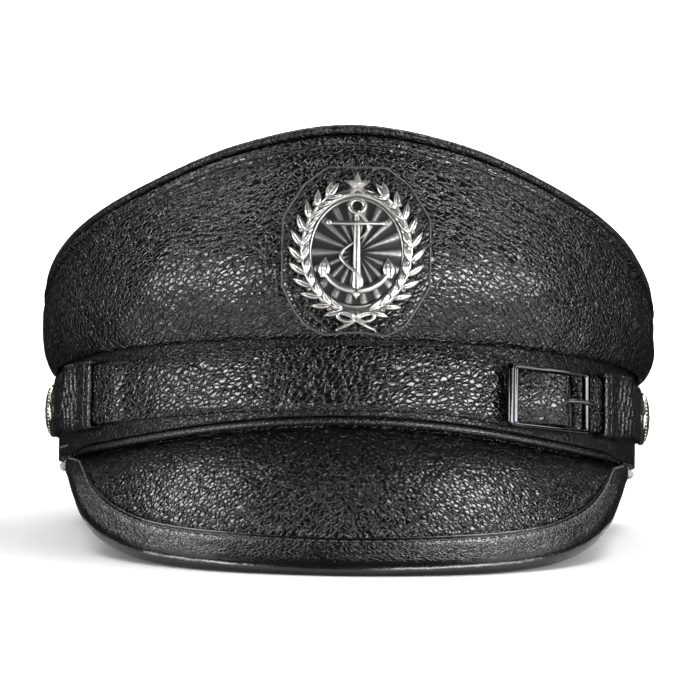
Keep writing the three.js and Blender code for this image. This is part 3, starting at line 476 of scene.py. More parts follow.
# painted highlight: a lighter grey than the rest of the leather, for the light line along the patch's
# raised edge
EDGE_BEAD_HIGHLIGHT = leather("edge_bead_highlight", cell=0.6, depth=0.03, colour=0.05, rough=0.3, seed=91, crease_shade=0.8,
                     swell=0.2)
CHROME = metal("dark_chrome", (0.04, 0.04, 0.043), (0.02, 0.02, 0.021), 0.12, 0.000004, speckle=0.1)
# its dark colour fills the badge's recesses: the badge's antiqued finish and painted shade
SILVER = metal("antique_silver", (0.5, 0.49, 0.465), (0.035, 0.034, 0.032), 0.33)
# its dark colour in the buttons' recesses is painted shade
BUTTON_SILVER = metal("button_silver", (0.85, 0.83, 0.75), (0.14, 0.13, 0.1), 0.15)


def thread_material():
    paint = Paint("black_thread")
    surface = paint.grain()
    wave = {"Vector": surface, "Scale": 0.9, "Distortion": 1.0}
    twist = paint.node("TexWave", wave, bands_direction="DIAGONAL").outputs["Fac"]
    paint.shade(
        # painted shade: the thread is darker in the grooves between its twisted plies
        Base_Color=paint.blend(twist, (0.006, 0.006, 0.006, 1), (0.022, 0.022, 0.023, 1)),
        Roughness=paint.fade(twist, 0, 1, 0.7, 0.5),
        Normal=paint.bump(twist, 0.0001),
    )
    paint.shader.inputs["Sheen Weight"].default_value = 0.3
    return paint.material


THREAD = thread_material()


# Crown
def crown_top(turn):
    turn = (np.asarray(turn, float) + 180) % 360 - 180
    share = np.where(turn < 0, smooth(CROWN_RISE, 1, abs(turn)), smooth(CROWN_RISE, 2, abs(turn)))
    return CROWN_BACK + (CROWN_FRONT - CROWN_BACK) * share


def front_share(turn):
    return np.cos(np.radians(turn)) ** 2


def top_out(turn):
    return mix(LEAN_SIDE, LEAN_FRONT, front_share(turn))


def crown_out(turn, share):
    bulge = mix(BULGE_SIDE, BULGE_FRONT, front_share(turn))
    low = FOOT_OUT + (bulge - FOOT_OUT) * np.sin(np.pi / 2 * np.clip(share / BELLY, 0, 1)) ** 0.8
    above = np.clip((share - BELLY) / (1 - BELLY), 0, 1)
    high = top_out(turn) + (bulge - top_out(turn)) * np.cos(np.pi / 2 * above)
    return np.where(share < BELLY, low, high)


# depth, turn and spread, share of the crown's height and spread
DENTS = [(-0.9, 50, 15, 0.62, 0.22), (-0.5, 80, 14, 0.5, 0.2)]


def crown_relief(turn, s):
    """Soft dents and gathers of the leather, none under the patch."""
    free = step(abs(turn), 17, 30)
    run = length_at(turn)
    dents = 0 * run * s
    for depth, at_turn, wide, at_share, tall in DENTS:
        dents = dents + depth * hump(abs(turn), at_turn, wide) * hump(s, at_share, tall)
    standing = np.sin(np.pi * s)
    folds = 0.3 * np.sin(run / 5.5 + 3.0 * s + 1.2 * np.sin(run / 17)) * hump(abs(turn), 78, 26) * standing
    gathers = 0.28 * np.sin(run / 2.9 + 0.9 * np.sin(run / 11))
    gathers = gathers * np.exp(-((s / 0.16) ** 2)) * np.minimum(1, s / 0.04)
    uneven = 0.25 * ripple(run / 14, s * 5) * standing
    return free * (dents + folds + uneven) + step(abs(turn), 4, 14) * gathers


def crown_wall():
    turns = ring_turns(720)
    t = turns[:, None]
    top = crown_top(t) - TOP_ROLL
    rise = top - CROWN_FOOT
    strip = 1 - SEAM_STRIP / rise
    s = np.concatenate([np.linspace(0, 0.12, 6), np.linspace(0.16, 1, 27)])[None, :]
    out = crown_out(t, s * strip) + crown_relief(t, s)
    up = CROWN_FOOT + rise * s * strip
    below = (1 - s) * rise * strip
    out = out - 0.5 * np.exp(-((below / 1.2) ** 2)) + 0.25 * hump(below, 3.6, 1.8)
    # (out, up) of the raised seam strip
    ridge = [(0.05, 0.1), (0.4, 0.25), (0.78, 0.75), (0.92, 1.5), (0.85, 2.3), (0.45, 2.9), (-0.1, 3.15)]
    foot_of_ridge = crown_out(t, strip)
    seam_out = [mix(foot_of_ridge, top_out(t), u / SEAM_STRIP) + o + 0.05 * np.sin(length_at(t) / 1.6)
                for o, u in ridge]
    seam_up = [top - SEAM_STRIP + u for o, u in ridge]
    edge_out = [top_out(t) - 0.9, top_out(t) - CROWN_WALL]
    edge_up = [top - 0.1, top - 0.05]
    inner = np.linspace(0.98, 0.14, 12)[None, :]
    # (in, up) of the lip that is rolled under at the foot
    lip = [(CROWN_WALL + FIT / 2, 0.7 * LIP), (CROWN_WALL - FIT, LIP), (FIT, LIP), (FIT, 1.3),
           (0.5, 0.45), (1.1, 0.05)]

    def wide(rows):
        return np.concatenate([np.broadcast_to(r, (len(turns), 1)) for r in rows], 1)

    outs = [out, wide(seam_out), wide(edge_out), crown_out(t, inner * strip) - CROWN_WALL,
            wide([np.full_like(t, o) for o, u in lip])]
    ups = [up, wide(seam_up), wide(edge_up), CROWN_FOOT + rise * inner * strip,
           wide([np.full_like(t, CROWN_FOOT + u) for o, u in lip])]
    points = on_band(t, np.concatenate(outs, 1), np.concatenate(ups, 1))
    shell("crown_wall_leather", points, LEATHER_CROWN, ring=True, loop=True, u=ring_run(turns),
          replaces=["crown_wall"], slot="leather")


def crown_panel():
    turns = ring_turns(480)
    t = turns[:, None]
    top = crown_top(t)
    seat = top - TOP_ROLL + FIT
    rim = top_out(t)
    # (out, up) of the rolled edge
    roll = [(-0.2, 0.02), (0.3, 0.25), (0.62, 0.75), (0.66, 1.3), (0.42, 1.85), (-0.1, 2.3), (-0.8, 2.58),
            (-1.6, 2.7)]
    shares = np.concatenate([np.linspace(0.985, 0.7, 14), np.linspace(0.66, 0.0, 23)])[None, :]

    def panel(drop, s):
        valley = 9 * step(s, 0.6, 0.93) * (1 - s)
        a = np.radians(t)
        wave = 0.5 * ripple(3.2 * s * np.cos(a) + 2, 3.0 * s * np.sin(a), 1.3) * step(1 - s, 0.02, 0.2)
        up = CROWN_MIDDLE + (top - CROWN_MIDDLE) * s**1.7 - valley + wave - drop
        edge = on_band(t, top_out(t) - 2, 0)
        return np.concatenate([edge[..., :2] * s[..., None], up[..., None]], -1)

    roll_points = on_band(t, np.concatenate([rim + o for o, u in roll], 1),
                          np.concatenate([seat + u for o, u in roll], 1))
    under = shares[:, ::-4]
    back = on_band(t, np.concatenate([rim - TOP_WALL - 1.6, rim - TOP_WALL - 0.2], 1),
                   np.concatenate([top - TOP_WALL, seat], 1))
    points = np.concatenate([roll_points, panel(0.0, shares), panel(TOP_WALL, under), back], 1)
    verts, faces, _ = grid(points, ring=True, loop=True)
    # the sheet is closed over its middle, so no wall joins its two faces there
    middle = {roll_points.shape[1] + shares.shape[1] - 1, roll_points.shape[1] + shares.shape[1]}
    faces = [f for f in faces if {k % points.shape[1] for k in f} != middle]
    flat = [verts[k][:2] for f in faces for k in f]
    make("crown_top_leather", to_world(verts), faces, LEATHER_TOP, uv=flat, merge=True,
         replaces=["crown_top"], slot="leather")


# Band, sweatband, piping
def visor_share(turn):
    return 1 - step(abs(turn), VISOR_TURN + 1, VISOR_TURN + 9)


def joint_height(turn):
    return np.where(abs(turn) > 120, 0, -BAND_DIP * np.sin(np.radians(turn * 180 / 120)) ** 2)


def piping_size(turn):
    return PIPING_R * (0.25 + 0.75 * (1 - step(abs(turn), PIPING_TURN - 8, PIPING_TURN + 3)))


def band_section(turns):
    low = joint_height(turns) + (2 * piping_size(turns) + FIT) * visor_share(turns)
    rows = [(0 * low, low), (0 * low + 0.05, low + 5), (0 * low, 0 * low + BAND_TOP),
            (0 * low - BAND_WALL, 0 * low + BAND_TOP), (0 * low - BAND_WALL, low)]
    return stack(*rows)


def sweat_section(turns):
    share = visor_share(turns)
    outer = -BAND_WALL - FIT - (TAB_WALL + FIT) * share
    bead = mix(SWEAT_BEAD, SWEAT_WALL / 2, share)
    bead_out = outer - bead + (BAND_WALL + FIT - 0.2) * (1 - share)
    bead_up = joint_height(turns) - FIT - bead
    rows = [(outer, 0 * outer + SWEAT_TOP), (outer, bead_up + bead)]
    for angle in (60, 20, -20, -60, -100, -140, -175):
        a = radians(angle)
        rows.append((bead_out + bead * cos(a), bead_up + bead * sin(a)))
    rows += [(outer - SWEAT_WALL, bead_up + 3 * SWEAT_BEAD), (outer - SWEAT_WALL, 0 * outer + SWEAT_TOP)]
    return stack(*rows)


def floor_cut(points):
    """Presses what would be under the resting plane flat on it."""
    points = np.array(points)
    c, s = cos(LEAN), sin(LEAN)
    z = -points[..., 1] * s + points[..., 2] * c + PLACE[2]
    under = np.minimum(z - 0.02, 0)
    points[..., 1] += under * s
    points[..., 2] -= under * c
    return points


def sweatband():
    turns = ring_turns(360)
    outline = rounded(sweat_section(turns), 0.3, 2)
    points = floor_cut(on_band(turns[:, None], outline[..., 0], outline[..., 1]))
    shell("sweatband_leather", points, LEATHER_SWEAT, ring=True, loop=True, u=ring_run(turns),
          replaces=["sweatband"], slot="sweat_leather")


def piping():
    turns = np.linspace(-PIPING_TURN, PIPING_TURN, 260)
    r = piping_size(turns)[:, None]
    a = circle(14)[None, :]
    points = on_band(turns[:, None], -0.1 + r * np.cos(a), joint_height(turns)[:, None] + r + r * np.sin(a))
    temple = np.linspace(-79, -68, 40)
    stitches("temple_stitches", on_band(temple, 0.12, joint_height(temple) + 3.6), 4.2, 2.9, 0.3)
    shell("band_piping_leather", points, LEATHER_FINE, loop=True, caps=True, replaces=["band_piping"],
          slot="smooth_leather")


# Visor
def visor_slice(along):
    side, far = copysign(1, along), abs(along)
    turn = VISOR_TURN * along
    start = on_band(turn, -BAND_WALL - FIT - TAB_WALL / 2, joint_height(turn) - 0.6 - 0.8 * far**2)
    behind = float(on_band(VISOR_TURN, 0, 0)[1])
    rim = np.array([
        side * VISOR_W * smooth(VISOR_RIM, 1, far, False),
        behind + (-VISOR_FRONT - behind) * smooth(VISOR_RIM, 2, far),
        -VISOR_DROP * smooth(VISOR_RIM, 3, far),
    ])
    run = rim - start
    length = float(np.linalg.norm(run))
    flat = np.array([run[0], run[1], 0.0])
    reach = float(np.linalg.norm(flat))
    flat /= reach
    bow = VISOR_BOW * min(1, length / (VISOR_FRONT - BAND_D))
    p1 = np.array([reach / 2 - bow * run[2] / length, run[2] / 2 + bow * reach / length])
    p2 = np.array([reach, run[2]])

    def at(distance, offset):
        distance, offset = np.asarray(distance, float), np.asarray(offset, float)
        t = np.clip(1 - distance / length, 0, 1)[..., None]
        point = 2 * t * (1 - t) * p1 + t * t * p2
        tangent = unit(2 * (1 - t) * p1 + 2 * t * (p2 - p1))
        point = point + tangent * np.maximum(0, -distance)[..., None]
        return point + np.stack([-tangent[..., 1], tangent[..., 0]], -1) * offset[..., None]

    def place(flat_points):
        return start + flat * flat_points[..., :1] + np.array([0, 0, 1.0]) * flat_points[..., 1:]

    return length, at, place


VISOR_SLICES = [visor_slice(a) for a in np.linspace(-1, 1, 241)]
PANEL_INSET = VISOR_WALL / 2 + FIT + BINDING_WALL


def visor_u():
    """Distance along the middle of the visor at each slice, from its middle."""
    mids = np.array([place(at(length / 2, 0.0)) for length, at, place in VISOR_SLICES])
    run = np.concatenate([[0], np.cumsum(np.linalg.norm(np.diff(mids, axis=0), axis=1))])
    return run - run[len(run) // 2]


def binding_reach(length):
    """How far the binding covers the visor in from its rim."""
    return min(BINDING_W, 0.62 * length)


def visor():
    u = visor_u()
    panel, rows_v = [], []
    for k, (length, at, place) in enumerate(VISOR_SLICES):
        half = VISOR_WALL / 2
        width = binding_reach(length)
        cuts = PANEL_INSET + (length - PANEL_INSET) * np.linspace(0.97, 0, 26)
        # closer rows beside the seam carry the narrow dip there
        beside = width + (length - width) * np.array([0.002, 0.01, 0.018, 0.026, 0.034, 0.044, 0.056])
        cuts = np.sort(np.concatenate([cuts, beside]))[::-1]
        near = 0.5 * np.exp(-(((cuts - width - 0.55) / 0.5) ** 2))
        relief = 0.22 * ripple(u[k] / 17, cuts / 13, 2.0) * step(cuts, width, width + 3) - near
        relief *= min(1, length / 20) * step(length - cuts, 1.0, 6.0)
        top = at(cuts, half + relief)
        under = at(cuts[::-3], -half + 0 * cuts[::-3])
        outline = np.vstack([
            [[TAB_WALL / 2, TAB_HEIGHT], [TAB_WALL / 2, 0.6]], top, under,
            [[-TAB_WALL / 2, -1.2], [-TAB_WALL / 2, TAB_HEIGHT]],
        ])
        panel.append(place(outline))
        rows_v.append(np.concatenate([[length + 6, length], cuts, -cuts[::-3],
                                      [-length, -length - 6, -length - 8]]))
    shell("visor_panel_leather", np.array(panel), LEATHER_VISOR, loop=True, caps=True, u=u,
          v=np.array(rows_v), replaces=["visor_panel"], slot="leather")
    rim, grainy = [], []
    for length, at, place in VISOR_SLICES:
        width = binding_reach(length)
        inner, outer = VISOR_WALL / 2 + FIT, VISOR_WALL / 2 + FIT + BINDING_WALL
        shares = np.array([1, 0.95, 0.9, 0.85, 0.78, 0.6, 0.4, 0.2, 0])
        tops = PANEL_INSET + (width - 0.7 - PANEL_INSET) * shares
        groove = 0.3 * np.exp(-(((tops - (width - 1.7)) / 0.5) ** 2))
        # the binding's outline: its seamed edge and top, the roll round the rim, and the underside
        rows = [at(width + 0.05, inner - 0.12), at(width, outer - 0.55), at(width - 0.35, outer - 0.12)]
        rows += [at(d, outer - g) for d, g in zip(tops, groove)]
        centre = PANEL_INSET - 0.1
        for angle in (75, 60, 45, 30, 15, 0, -15, -30, -45, -60, -75):
            a = radians(angle)
            rows.append(at(centre - outer * cos(a), outer * sin(a)))
        middle = (PANEL_INSET + width) / 2
        rows += [at(d, -outer) for d in (PANEL_INSET, middle, width - 0.3)]
        rows += [at(width, -outer + 0.4), at(width, -inner), at(middle, -inner)]
        rows += [at(PANEL_INSET - FIT, -inner), at(PANEL_INSET - FIT, inner), at(middle, inner)]
        rim.append(place(np.array(rows)))
        grainy.append([0.1] * 6 + [1.0] * 5 + [0.3] + [0.0] * (len(rows) - 12))
    shell("visor_binding_leather", floor_cut(np.array(rim)), LEATHER_BINDING, loop=True, caps=True, u=u,
          high=np.array(grainy).ravel(), replaces=["visor_binding"], slot="smooth_leather")
    line = np.array([place(at(binding_reach(length) - 1.7, VISOR_WALL / 2 + FIT + BINDING_WALL - 0.12))
                     for length, at, place in VISOR_SLICES[6:-6]])
    stitches("visor_stitches", line, 3.0, 2.3, 0.24)


def stitches(name, line, spacing, length, radius):
    """A row of short thread stitches along a line of points."""
    line = np.asarray(line, float)
    run = np.concatenate([[0], np.cumsum(np.linalg.norm(np.diff(line, axis=0), axis=1))])
    parts = []
    s = np.linspace(0, 1, 7)
    for k in range(int((run[-1] - length) / spacing)):
        at = run[0] + k * spacing + s * length
        path = np.stack([np.interp(at, run, line[:, c]) for c in range(3)], 1)
        thick = radius * np.sin(np.pi * np.clip(s, 0.06, 0.94)) ** 0.5
        verts, faces, uv = grid(sweep(path, thick, 6), loop=True, caps=True)
        parts.append((verts, faces, uv))
    joined(name, parts, THREAD)


# Strap, keepers
def strap_middle(turn):
    return STRAP_HEIGHT + STRAP_W * smooth(STRAP_RUN, 1, turn)


def strap_half(turn):
    return STRAP_W * smooth(STRAP_RUN, 2, turn) / 2


def speed_at(turn):
    return np.interp(turn, _turns, _speed)


def strap_lift(turn):
    speed = speed_at(KEEPER_TURN)
    near = (KEEPER_LENGTH / 2 + KEEPER_MARGIN) / speed
    away = abs(abs(turn) - KEEPER_TURN)
    return FIT + (KEEPER_WALL + FIT) * (1 - step(away, near, near + KEEPER_RAMP / speed))


def strap_outline(wall, half):
    """Section of the strap about its middle: [offset, up] corners with eased, slightly rolled edges."""
    ups = np.linspace(-1, 1, 9)
    face = [(wall / 2 - 0.04 - 0.32 * abs(s) ** 9, s * (half - 0.45)) for s in ups]
    side = [(wall / 2 - 0.62, half - 0.06), (0.0, half), (-wall / 2 + 0.25, half)]
    back = [(-wall / 2, half - 0.3), (-wall / 2, 0.0), (-wall / 2, -half + 0.3)]
    other = [(-wall / 2 + 0.25, -half), (0.0, -half), (wall / 2 - 0.62, -half + 0.06)]
    return np.array(face + side + back + other)


def rounded_half(half, to_end):
    """Half of the strap's width this far from its round end."""
    s = np.clip(to_end / half, 0, 1)
    return half * np.sqrt(np.maximum(0.03, 1 - (1 - s) ** 2))


def buckle_lift():
    inside = BUCKLE_L / 2 - LEFT_BAR
    return FIT + STRAP_WALL + FIT + FOLD_WALL + FIT - inside**2 / 2 / band_curve(BUCKLE_TURN) + 0.05


def middle_bar_up():
    return buckle_lift() + BAR_R * 0.3


def strap_main():
    bar_out = middle_bar_up() + MIDDLE**2 / 2 / band_curve(BUCKLE_TURN)
    fold_half = BUCKLE_H / 2 - SIDE_BAR - FIT
    fold_middle = strap_middle(BUCKLE_TURN)
    centre = FIT + STRAP_WALL / 2
    fold_top = bar_out + BAR_R + FIT + FOLD_WALL / 2
    radius, middle = (fold_top - centre) / 2, (fold_top + centre) / 2
    left = -BUCKLE_L / 2
    tucked = FIT + STRAP_WALL + FIT + FOLD_WALL / 2
    end = turn_after(-BUTTON_TURN, -TAIL)
    start = turn_after(BUCKLE_TURN, left)
    rows = []
    for turn in np.concatenate([mix(end, end + 7, np.linspace(0, 1, 14) ** 1.6),
                                np.linspace(end + 7.5, start, 230)]):
        to_end = (turn - end) * speed_at(BUTTON_TURN)
        half = rounded_half(strap_half(turn), to_end + 0.15)
        rows.append((turn, strap_lift(turn) + STRAP_WALL / 2, STRAP_WALL, 0.0, half,
                     strap_middle(turn)))
    for share in (0.12, 0.3, 0.5, 0.7, 0.85, 0.94):
        turn = turn_after(BUCKLE_TURN, left + (MIDDLE - left) * share)
        rows.append((turn, centre, STRAP_WALL, 0.0,
                     mix(strap_half(turn), fold_half, step(share, 0.5, 1)), strap_middle(turn)))
    for angle in np.linspace(-90, 90, 15):
        a = radians(angle)
        share = (angle + 90) / 180
        rows.append((turn_after(BUCKLE_TURN, MIDDLE + radius * cos(a)),
                     middle + radius * sin(a),
                     mix(STRAP_WALL, FOLD_WALL, share), angle + 90, fold_half, fold_middle))
    for share in np.linspace(0.06, 1, 26):
        turn = turn_after(BUCKLE_TURN, MIDDLE + (left + 1.6 - MIDDLE) * share)
        out = mix(fold_top, tucked, step(share, 0, 0.8))
        rows.append((turn, out, FOLD_WALL, 180.0, fold_half, fold_middle))
    points = []
    for turn, out, wall, lean, half, up in rows:
        outline = strap_outline(wall, half)
        if lean > 90:
            pucker = 0.22 * np.sin(outline[:, 1] * 1.9 + turn * 0.8) * hump(turn, BUCKLE_TURN + 1.5, 3.5)
            outline[:, 0] -= np.where(outline[:, 0] > 0, 0, pucker)
        a = radians(lean)
        along = np.cross([0, 0, 1.0], outward(turn))
        base = on_band(turn, out + outline[:, 0] * cos(a), up + outline[:, 1])
        points.append(base - along * (outline[:, :1] * sin(a)))
    shell("chin_strap_leather", np.array(points), LEATHER_STRAP, loop=True, caps=True,
          replaces=["strap_main"], slot="leather")


def strap_end():
    start = turn_after(BUCKLE_TURN, BUCKLE_L / 2 - RIGHT_BAR - 1.5)
    end = turn_after(BUTTON_TURN, TAIL)
    turns = np.concatenate([np.linspace(start, end - 7.5, 120),
                            mix(end, end - 7, np.linspace(1, 0, 14) ** 1.6)])
    points = []
    for turn in turns:
        half = float(rounded_half(STRAP_END_W / 2, (end - turn) * speed_at(BUTTON_TURN) + 0.15))
        outline = strap_outline(STRAP_WALL, half)
        points.append(on_band(turn, strap_lift(turn) + STRAP_WALL / 2 + outline[:, 0],
                              strap_middle(turn) + outline[:, 1]))
    shell("strap_end_leather", np.array(points), LEATHER_STRAP, loop=True, caps=True,
          replaces=["strap_end"], slot="leather")


def keeper(name, side, half_width, node):
    in_low = FIT + KEEPER_WALL
    in_high = 2 * FIT + KEEPER_WALL + STRAP_WALL + FIT
    high = half_width + FIT
    inner = np.array([(in_low, high), (in_high, high), (in_high, -high), (in_low, -high)])
    fine = []
    for k in range(4):
        a, b = inner[k], inner[(k + 1) % 4]
        fine += [mix(a, b, s) for s in np.linspace(0, 1, 14 if k % 2 else 4, endpoint=False)]
    loop = rounded(np.array(fine), 0.35, 1)
    centre = loop.mean(axis=0)
    ahead, back = np.roll(loop, -1, axis=0), np.roll(loop, 1, axis=0)
    tangent = unit(ahead - back)
    normal = np.stack([tangent[:, 1], -tangent[:, 0]], -1)
    normal *= np.sign(np.einsum("ij,ij->i", normal, loop - centre))[:, None]
    across = np.linspace(-0.5, 0.5, 64)
    points = []
    for (out, up), (n_out, n_up) in zip(loop, normal):
        front = step(out, in_high - 0.5, in_high)
        # the creased side of the keeper faces the button, and its margin by the strap is smooth
        worn = step(across, -0.22, 0.0)
        crease = 0.2 * np.sin(across * 46 + 0.35 * up + 1.4 * sin(up * 0.5))
        crease += 0.13 * np.sin(across * 83 - 0.5 * up)
        bulge = front * worn * crease * cos(0.5 * pi * min(1, abs(up) / (high + 1))) ** 0.4
        edge = 0.3 * (step(abs(across), 0.46, 0.5))
        rim = -0.25 * hump(across, -0.36, 0.012) * front
        grown = KEEPER_WALL - edge + bulge + rim
        outer = [(out + n_out * g, up + n_up * g, s) for g, s in zip(grown, across)]
        under = [(out + n_out * 0.02, up + n_up * 0.02, s) for s in across[::-7]]
        row = []
        for o, h, s in outer + under:
            turn = turn_after(side * KEEPER_TURN, side * s * KEEPER_LENGTH)
            row.append(on_band(turn, o, strap_middle(turn) + h))
        points.append(row)
    shell(name, np.array(points), LEATHER_KEEPER, ring=True, loop=True, replaces=[node],
          slot="keeper_leather")


# Buckle
def facing(turn, lift):
    """A function that sets (along, up, outward) points on the band where it faces this turn."""
    out = outward(turn)
    along = np.cross([0, 0, 1.0], out)
    base = on_band(turn, lift, strap_middle(turn))
    axes = np.array([along, [0, 0, 1.0], out])

    def put(points):
        return base + np.asarray(points, float) @ axes

    return put


def corner_path(x0, y0, x1, y1, radius):
    """Rounded rectangle, each corner and side with the same number of points."""
    path = []
    spots = [(x1 - radius, y0 + radius, -90), (x1 - radius, y1 - radius, 0),
             (x0 + radius, y1 - radius, 90), (x0 + radius, y0 + radius, 180)]
    for cx, cy, first in spots:
        for a in np.radians(np.linspace(first, first + 90, 9)):
            path.append((cx + radius * cos(a), cy + radius * sin(a)))
    return np.array(path)


def buckle():
    put = facing(BUCKLE_TURN, 0)
    x, y = BUCKLE_L / 2, BUCKLE_H / 2
    outer = corner_path(-x, -y, x, y, 1.7)
    inner = corner_path(-x + LEFT_BAR, -y + SIDE_BAR, x - RIGHT_BAR, y - SIDE_BAR, 0.5)
    mid = (outer + inner) / 2
    left = step(-mid[:, 0], x - LEFT_BAR, x - LEFT_BAR * 0.6)
    a = circle(28)
    points = []
    for o, i, w in zip(outer, inner, left):
        s = 0.5 - 0.5 * np.sign(np.cos(a)) * abs(np.cos(a)) ** 0.85
        h = np.sign(np.sin(a)) * abs(np.sin(a)) ** 0.85
        groove = 0.55 * w * np.exp(-(((s - 0.52) / 0.13) ** 2)) * (h > 0)
        z = buckle_lift() + BUCKLE_T / 2 * (1 + h) - groove
        points.append(np.stack([mix(o[0], i[0], s), mix(o[1], i[1], s), z], -1))
    rim = grid(np.array(points), ring=True, loop=True)
    ends = y - SIDE_BAR / 2
    bar_path = [(MIDDLE, up, middle_bar_up()) for up in np.linspace(-ends, ends, 12)]
    bar = grid(sweep(bar_path, BAR_R, 16), loop=True, caps=True)
    joined("buckle_frame_metal", [(put(v), f, c) for v, f, c in (rim, bar)], CHROME,
           replaces=["buckle_frame"], slot="dark_chrome")
    over = buckle_lift() + BUCKLE_T + FIT + PRONG_R
    # (order, along, outward) of the prong's middle line
    reach, bar_up = MIDDLE + BAR_R + FIT, middle_bar_up()
    knots = [(-1, reach + 0.1, bar_up + 0.6), (0, reach + 0.5, bar_up + 1.2),
             (1, reach + 2.6, bar_up + 2.2), (2, x - RIGHT_BAR, over - 0.05), (3, x - 0.2, over - 0.1)]
    s = np.linspace(-1, 3, 40)
    path = np.stack([smooth(knots, 1, s, False), 0 * s, smooth(knots, 2, s, False)], 1)
    share = (s + 1) / 4
    width = mix(1.0, 0.6, share) * PRONG_R * np.where(share > 0.97, 0.5, 1.0)
    finger = []
    tangent = unit(np.gradient(path, axis=0))
    for p, t, w in zip(path, tangent, width):
        rise = np.array([-t[2], 0, t[0]])
        finger.append([p + np.array([0, 1.0, 0]) * w * cos(a) + rise * 0.85 * w * sin(a)
                       for a in circle(14)])
    prong = grid(np.array(finger), loop=True, caps=True)
    # (radius, along the bar) of the prong's eye round the middle bar
    section = [(1.12, -1.15), (1.55, -1.15), (1.68, -0.95), (1.68, 0.95), (1.55, 1.15), (1.12, 1.15)]
    eye = grid(np.array([
        [(MIDDLE + r * cos(a), up, bar_up + r * sin(a)) for a in circle(24)]
        for r, up in section
    ]), ring=True, loop=True)
    joined("buckle_prong_metal", [(put(v), f, c) for v, f, c in (prong, eye)], CHROME,
           replaces=["buckle_prong"], slot="dark_chrome")


# Side buttons
def button(name, node, turn):
    put = facing(turn, strap_lift(turn) + STRAP_WALL + FIT)
    # (radius, outward) of the button's back and side
    profile = [(0.05, 0.0), (BUTTON_R - 1.2, 0.0), (BUTTON_R - 0.35, 0.15), (BUTTON_R - 0.02, 0.5),
               (BUTTON_R, 0.95), (BUTTON_R - 0.2, 1.4)]
    steps = np.linspace(0, 1, 34)
    rim_r = BUTTON_R - 0.35 - steps * (BUTTON_R - 0.45)
    dome = 1.35 + (BUTTON_T - 1.35) * np.sqrt(np.maximum(0, 1 - (rim_r / (BUTTON_R - 0.3)) ** 2))
    radii = np.array([r for r, h in profile] + list(rim_r))
    heights = np.array([h for r, h in profile] + list(dome))
    angles = circle(144)
    r, q = np.broadcast_arrays(radii[:, None], angles[None, :])
    top = (np.arange(len(radii)) >= len(profile))[:, None]
    petals = 0.34 * hump(r, 3.0, 1.35) * abs(np.cos(4 * q)) ** 0.7 + 0.3 * hump(r, 0.0, 0.8)
    ring = 0.28 * hump(r, BUTTON_R - 2.7, 0.28) - 0.25 * hump(r, BUTTON_R - 2.15, 0.3)
    rope_r = BUTTON_R - 1.15
    rope = 0.34 * hump(r, rope_r, 0.55) * (0.55 + 0.45 * np.cos(36 * q + 3.0 * (r - rope_r)))
    relief = (petals + ring + rope) * top
    z = np.minimum(heights[:, None] - 0.34 * top + relief, BUTTON_T + 0.05)
    points = np.stack([r * np.cos(q), r * np.sin(q), z], -1)
    # painted shade: the top is dark except where its relief stands out, the back and side bright
    high = np.clip(0.25 + relief / 0.3, 0, 1) * top + (1 - top)
    verts, faces, uv = grid(points, loop=True, caps=True)
    parts = [(put(verts), faces, uv, high.ravel())]
    for a in circle(40):
        parts.append(ball(put, (BUTTON_R - 0.5) * cos(a), (BUTTON_R - 0.5) * sin(a), 1.35, 0.36))
    joined(name, parts, BUTTON_SILVER, replaces=[node], slot="bright_silver")


def ball(put, x, y, z, radius, rings=5, sides=8, squeeze=1.0):
    points = [
        [(x + radius * sin(b) * cos(a), y + radius * sin(b) * sin(a),
          z + squeeze * radius * cos(b))
         for a in circle(sides)]
        for b in np.linspace(0.12, pi - 0.12, rings)
    ]
    verts, faces, uv = grid(np.array(points), loop=True, caps=True)
    # painted shade: each ball is darker towards its foot on the surface
    return put(verts), faces, uv, np.clip((verts[:, 2] - z) / radius * 0.6 + 0.6, 0, 1)


# Patch and badge
def on_plaque(across, up, out):
    height = BADGE_UP + np.asarray(up, float)
    turn = turn_at((BADGE_SIDE + np.asarray(across, float)) * BAND_D / (BAND_D + BULGE_FRONT))
    share = (height - CROWN_FOOT) / (float(crown_top(0)) - TOP_ROLL - CROWN_FOOT)
    return on_band(turn, crown_out(turn, np.maximum(share, BELLY)) + out, height)


def plaque(points):
    points = np.asarray(points, float)
    return on_plaque(points[..., 0], points[..., 1], points[..., 2])


def patch():
    corners = np.array([(a * PATCH_W, u * PATCH_H) for a, u in PATCH])
    outline = rounded(corners, 1.3, 4)
    fine = np.concatenate([[mix(outline[k], outline[(k + 1) % len(outline)], s) for s in (0, 0.5)]
                           for k in range(len(outline))])
    far = np.linalg.norm(fine, axis=1)[:, None]
    # (distance in from the edge, outward)
    face = FIT + PATCH_WALL
    depths = [(14.0, FIT), (2.0, FIT), (0.1, FIT), (0.0, FIT + 0.5), (0.0, face - 0.5), (0.25, face - 0.25),
              (0.6, face - 0.25), (1.0, face - 0.05)]
    depths += [(d, face) for d in (1.6, 3.0, 5.0, 8.0, 14.0)]
    points = np.stack([
        np.concatenate([fine * (1 - d / far), np.full((len(fine), 1), out)], 1) for d, out in depths
    ], 1)
    verts, faces, uv = grid(points, ring=True)
    rows, columns = points.shape[:2]
    faces.append([k * columns for k in range(rows)][::-1])
    faces.append([k * columns + columns - 1 for k in range(rows)])
    flat = [verts[k][:2] for f in faces for k in f]
    make("badge_patch_leather", to_world(plaque(verts)), faces, LEATHER_PATCH, uv=flat, merge=True,
         replaces=["badge_patch"], slot="smooth_leather")
    # a raised bead along the patch's edge; its lighter colour is a painted highlight
    rim = np.concatenate([fine * (1 - 0.2 / far), np.full((len(fine), 1), face - 0.3)], 1)
    bead = sweep(np.vstack([rim, rim[:1]]), 0.3, 8)[:-1]
    verts, faces, uv = grid(bead, ring=True, loop=True)
    make("patch_edge_paint", to_world(plaque(verts)), faces, EDGE_BEAD_HIGHLIGHT, uv=uv, slot="smooth_leather")


